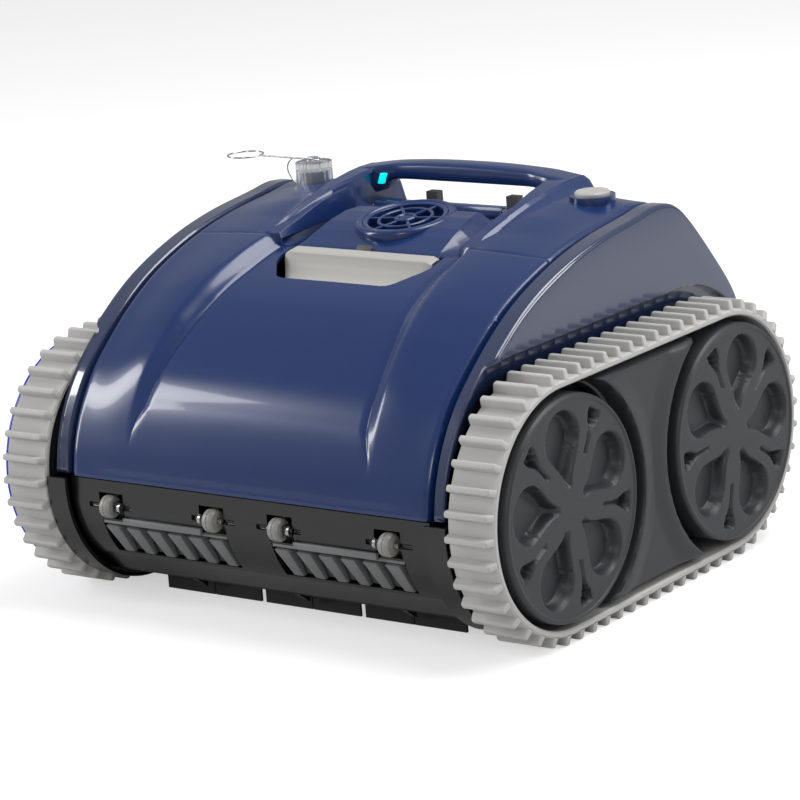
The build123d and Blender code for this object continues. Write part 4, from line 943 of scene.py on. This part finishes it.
def lid():
    """Domed lid: wedge-shaped top, flared flanks, round boss for the grille and a hood over the hinge."""
    def place(u, v):
        y = mix(LID_FRONT_Y, LID_REAR_Y, v)
        x = lid_across(u, y)
        top_half = follow(LID_EDGE, y)
        foot = mix(LID_FOOT_Z, LID_REAR_FOOT_Z, v)
        share = max(0.0, abs(x) - top_half) / (LID_HALF - top_half)
        sag = 0.0 if share else 0.5 * (x / top_half) ** 2
        return x, y, mix(follow(LID_TOP, y), foot, share ** 0.85) - sag

    def opened(p):
        y = mix(LID_FRONT_Y, LID_REAR_Y, p.y)
        return hypot(lid_across(p.x, y), y - GRILLE_Y) < BOSS_OPENING_R

    bm = shape(grid(120, 96, (), opened), place)
    face_up(bm, (0, 0, 1))
    skin = piece_from("lid_skin", bm, "hull_blue", "lid", ["lid"], wall=SKIN, angle=22, outwards=False)
    ring = tilted(turned([(32.4, -14.0), (32.4, -1.4), (33.4, -0.3), (35.0, 0.0), (36.8, -0.5), (37.9, -1.8),
                          (38.1, -3.6), (38.1, -14.0), (32.4, -14.0)], (0, 0, 0), "Z", 120))
    piece_from("lid_boss", ring, "hull_blue", "lid", angle=40)

    def hood(u, v):
        angle = mix(-0.25, pi * 0.62, v)
        x = mix(-HOOD_HALF, HOOD_HALF, u)
        return x, LID_HINGE_Y - HOOD_R * cos(angle), LID_HINGE_Z + HOOD_R * sin(angle)

    cover = face_up(shape(grid(2, 16), hood), (0, 0, 1))
    piece_from("lid_hinge_hood", cover, "hull_blue", "lid", wall=1.2, outwards=False)
    lugs = bmesh.new()
    for x in (-61.5, 57.5):
        brick(lugs, (x, PULL_Y - 2.4, PULL_Z - 3.1), (x + 4.0, -23.0, PULL_Z + 1.9), 0.5)
    piece_from("lid_lugs", lugs, "hull_blue", "lid")
    return skin


SPOKES, SPOKE_TURN = 6, 12
# Outlines of the grille's outer ring, inner ring, hub and screw, each with its number of sides.
GRILLE_RINGS = [
    ([(28.6, -4.0), (28.6, -1.4), (29.4, -0.9), (31.8, -0.9), (32.3, -1.6), (32.3, -4.0), (28.6, -4.0)], 96),
    ([(18.8, -4.2), (18.8, -1.8), (19.4, -1.2), (20.9, -1.2), (21.5, -1.8), (21.5, -4.2), (18.8, -4.2)], 72),
    ([(5.2, -4.2), (5.2, -1.6), (6.0, -0.9), (7.6, -0.9), (8.4, -1.6), (8.4, -4.2), (5.2, -4.2)], 48),
    ([(0.01, -0.9), (3.0, -1.1), (4.6, -1.8), (5.6, -2.4), (5.6, -4.0), (0.01, -4.0)], 32),
]


def outlet_grille():
    """Round grille: two rings, hub, six spokes and a centre screw."""
    bm = bmesh.new()
    for outline, sides in GRILLE_RINGS:
        join(bm, turned(outline, (0, 0, 0), "Z", sides))
    for index in range(SPOKES):
        spoke = bmesh.new()
        brick(spoke, (7.0, -1.2, -4.4), (30.0, 1.2, -1.5), 0.5)
        turn = Matrix.Rotation(radians(360 / SPOKES * index + SPOKE_TURN), 3, "Z")
        bmesh.ops.rotate(spoke, cent=(0, 0, 0), matrix=turn, verts=spoke.verts)
        join(bm, spoke)
    return piece_from("outlet_grille_skin", tilted(bm), "hull_blue", "lid", ["outlet_grille"], angle=35)


PULL_HALF, PULL_LOW_HALF = 66.6, 46.0
PULL_FACE_Y, PULL_FACE_RUN = -41.0, 29.0
BARREL_R, BARREL_LONG = 3.2, 17.5


def pull_handle():
    """Scooped finger pull: flat upper lip, a hollow face that dips under the shell, and two barrels."""
    section = curve_through([(-29.2, 247.4), (-33.5, 247.0), (-38.6, 245.9)], 4)
    section += curve_through([(-39.9, 244.9), (-40.9, 241.4), (-43.6, 235.6), (-49.5, 230.6),
                              (-58.0, 228.0), (-69.5, 226.9)], 5)
    line = Profile(section)

    def place(u, v):
        spot, _ = line.at(v)
        half = mix(PULL_HALF, PULL_LOW_HALF, min(1.0, max(0.0, PULL_FACE_Y - spot.x) / PULL_FACE_RUN))
        out = u * 2 - 1
        return out * half, spot.x, spot.y - 2.0 * smooth(0.93, 1.0, abs(out))

    barrels = bmesh.new()
    for x in (-57.0, 39.5):
        rod(barrels, (x, PULL_Y, PULL_Z), (x + BARREL_LONG, PULL_Y, PULL_Z), BARREL_R)
        brick(barrels, (x, PULL_Y - 2.2, PULL_Z + 0.7), (x + BARREL_LONG, PULL_Y + 2.2, PULL_Z + 4.7))
    piece_from("pull_barrels", barrels, "pull_grey", "pull_handle")
    bm = face_up(shape(grid(60, 44), place), (0, -1, 1))
    return piece_from("pull_handle_skin", bm, "pull_grey", "pull_handle", ["pull_handle"], wall=2.2,
                      edge=0.4, angle=30, outwards=False)


VANES, VANE_X, VANE_PITCH = 6, 21.5, 19.4
VENT_SHIFT = 157.0


def vent_louvres(side):
    """Six wedge vanes that taper to the lower outer corner, with a pale strip above them."""
    bm = bmesh.new()
    for index in range(VANES):
        left = VANE_X + VANE_PITCH * index
        vane = bmesh.new()
        bmesh.ops.create_cube(vane, size=1.0)
        for vert in vane.verts:
            right, front, top = vert.co.x > 0, vert.co.y < 0, vert.co.z > 0
            if top:
                x = left + (12.4 if right else 0.0)
                vert.co = (x, -188.2, 67.6) if front else (x, -180.5, 70.8)
            else:
                x = left + (14.8 if right else 6.2)
                vert.co = (x, -175.6 if front else -171.5, 45.8)
        bmesh.ops.bevel(vane, geom=vane.edges[:], offset=0.6, segments=2, profile=0.5, affect="EDGES",
                        material=-1)
        join(bm, vane)
    brick(bm, (20.6, -188.6, 70.0), (136.4, -186.0, 72.2), 0.4)
    brick(bm, (42.0, -192.3, 71.4), (115.0, -189.0, 76.4), 0.5)
    back = bmesh.new()
    brick(back, (20.4, -174.5, 46.0), (136.6, -172.5, 72.0), 0.3)
    for vert in back.verts:
        vert.co.y += (46.0 - vert.co.z) * 0.3 + 5.0
    join(bm, back)
    if side == "left":
        bmesh.ops.translate(bm, vec=(-VENT_SHIFT, 0, 0), verts=bm.verts)
    return piece_from("vent_louvres_" + side, bm, "louvre_grey", "hull", ["vent_grille_" + side], angle=35)


ROLLER_HALF = [(8.1, 0.2), (8.5, 0.5), (8.5, 2.2), (8.2, 3.4), (7.2, 4.6), (5.6, 5.0), (2.1, 5.0)]


def front_roller(number):
    """Guide roller with a groove round its middle, turned about its pin."""
    name = "front_roller_%d" % number
    outline = [(r, -x) for r, x in reversed(ROLLER_HALF)] + ROLLER_HALF + [(2.1, -5.0)]
    bm = turned(outline, middle_mm(name), "X", 40)
    return piece_from(name + "_skin", bm, "roller_grey", "roller_%d" % number, [name], angle=35)


def keeper_wire():
    """Stiff wire keeper: eye round the knob, straight shank, open ring and a short leg."""
    z, wire = 288.3, 0.65
    eye_r, ring_r = 5.4, 14.0
    ring_x, ring_y = -197.5, 82.0
    bm = bmesh.new()
    for x, y, radius in ((KNOB_X, KNOB_Y, eye_r), (ring_x, ring_y, ring_r)):
        turns = [pi * step / 5 for step in range(11)]
        outline = [(radius + wire * cos(turn), wire * sin(turn)) for turn in turns]
        join(bm, turned(outline, (x, y, z), "Z", 64))
    rod(bm, (ring_x + ring_r, ring_y, z), (KNOB_X - eye_r + 0.2, KNOB_Y + 0.2, z), wire, 10)
    leg = curve_through([(-149.0, z), (-153.5, 284.0), (-154.5, 278.5), (-151.5, 272.6), (-147.0, 268.8)], 5)
    for a, b in zip(leg, leg[1:]):
        rod(bm, (a.x, KNOB_Y + 0.2, a.y), (b.x, KNOB_Y + 0.2, b.y), wire * 0.8, 8)
    return piece_from("keeper_wire_bent", bm, "steel", "hull", ["keeper_wire"])


def latch_plate():
    """Small square catch plate on the lid's front slope."""
    bm = bmesh.new()
    brick(bm, (-11.0, -1.0, -2.9), (2.0, 1.0, 2.9), 0.5)
    tipped(bm, -PLATE_TILT, (0, -24.9, 247.6))
    return piece_from("latch_plate", bm, "clip_grey", "lid", ["latch_tab"])


def status_window():
    """Lit window at the inner left corner of the handle, leaning outwards at its top."""
    bm = bmesh.new()
    brick(bm, (-76.0, 91.6, 269.4), (-70.4, 95.0, 277.8), 0.8)
    for vert in bm.verts:
        vert.co.x += (vert.co.z - 273.0) * 0.4
    return piece_from("status_window", bm, "led", "hull", ["led_window"])


lid()
outlet_grille()
pull_handle()
latch_plate()
status_window()
for side in ("left", "right"):
    vent_louvres(side)
for number in range(1, 5):
    front_roller(number)
keeper_wire()


# ---------------------------------------------------------------- camera, floor and light
CAMERA_PLACE = Vector((1573.33, -2051.87, 777.95)) * MM
CAMERA_AZIMUTH, CAMERA_ELEVATION, CAMERA_ROLL = radians(37.504), radians(14.115), radians(-4.450)
FLOOR_GREY, FLOOR_GLOW = 0.62, 0.55
ROOM_LIGHT = 0.36
AIM = (0, 0, 0.13)


def only_seen(tree, base, extra):
    """A strength with something extra where the camera looks straight at a surface."""
    seen = node(tree, "ShaderNodeLightPath").outputs["Is Camera Ray"]
    return maths(tree, "ADD", maths(tree, "MULTIPLY", seen, extra), base)


def stage():
    """Pale floor that looks white without lighting the part from below."""
    floor_mesh = bpy.data.meshes.new("floor")
    bm = bmesh.new()
    bmesh.ops.create_grid(bm, x_segments=1, y_segments=1, size=30.0)
    bm.to_mesh(floor_mesh)
    bm.free()
    floor = bpy.data.objects.new("floor", floor_mesh)
    bpy.context.scene.collection.objects.link(floor)
    paper = finish("floor_paper", (FLOOR_GREY,) * 3, 0.9, bump=0.0, mottle=0.0, scuff=0.0, shade=1.0,
                   light=1.0, specular=0.1)
    floor_mesh.materials.append(paper)
    tree = paper.node_tree
    shader = tree.nodes["Principled BSDF"]
    shader.inputs["Emission Color"].default_value = (1, 1, 1, 1)
    tree.links.new(only_seen(tree, 0.0, FLOOR_GLOW), shader.inputs["Emission Strength"])
    return floor


def soft_light(name, place, size, power):
    """Wide white lamp that faces the part."""
    lamp = bpy.data.lights.new(name, "AREA")
    lamp.shape = "RECTANGLE"
    lamp.size, lamp.size_y = size
    lamp.energy = power
    holder = bpy.data.objects.new(name, lamp)
    holder.location = place
    run = Vector(AIM) - Vector(place)
    holder.rotation_euler = run.to_track_quat("-Z", "Y").to_euler()
    bpy.context.scene.collection.objects.link(holder)
    return holder


def camera():
    """Camera level with the part's right front corner, a little above it."""
    lens = bpy.data.cameras.new("camera")
    lens.lens = 161.4
    lens.sensor_width = 36.0
    lens.clip_end = 100.0
    holder = bpy.data.objects.new("camera", lens)
    level = cos(CAMERA_ELEVATION)
    back = Vector((sin(CAMERA_AZIMUTH) * level, -cos(CAMERA_AZIMUTH) * level, sin(CAMERA_ELEVATION)))
    right = (-back).cross(Vector((0, 0, 1))).normalized()
    up = back.cross(right)
    rolled_right = right * cos(CAMERA_ROLL) + up * sin(CAMERA_ROLL)
    rolled_up = up * cos(CAMERA_ROLL) - right * sin(CAMERA_ROLL)
    turn = Matrix((rolled_right, rolled_up, back)).transposed().to_4x4()
    holder.matrix_world = Matrix.Translation(CAMERA_PLACE) @ turn
    bpy.context.scene.collection.objects.link(holder)
    bpy.context.scene.camera = holder


stage()
camera()
soft_light("top_soft", (0.7, 0.5, 2.4), size=(1.9, 1.3), power=44)
soft_light("left_soft", (-2.3, -1.5, 1.2), size=(0.5, 2.0), power=40)
soft_light("right_soft", (2.4, 1.4, 1.5), size=(1.2, 1.4), power=34)
soft_light("front_soft", (1.1, -2.8, 1.5), size=(0.7, 0.7), power=12)
world = bpy.data.worlds.new("studio")
world.use_nodes = True
surround = world.node_tree.nodes["Background"]
surround.inputs["Color"].default_value = (1, 1, 1, 1)
strength = only_seen(world.node_tree, ROOM_LIGHT, 1.0 - ROOM_LIGHT)
world.node_tree.links.new(strength, surround.inputs["Strength"])
bpy.context.scene.world = world
bpy.context.scene.view_settings.view_transform = "Standard"

bpy.context.view_layer.update()
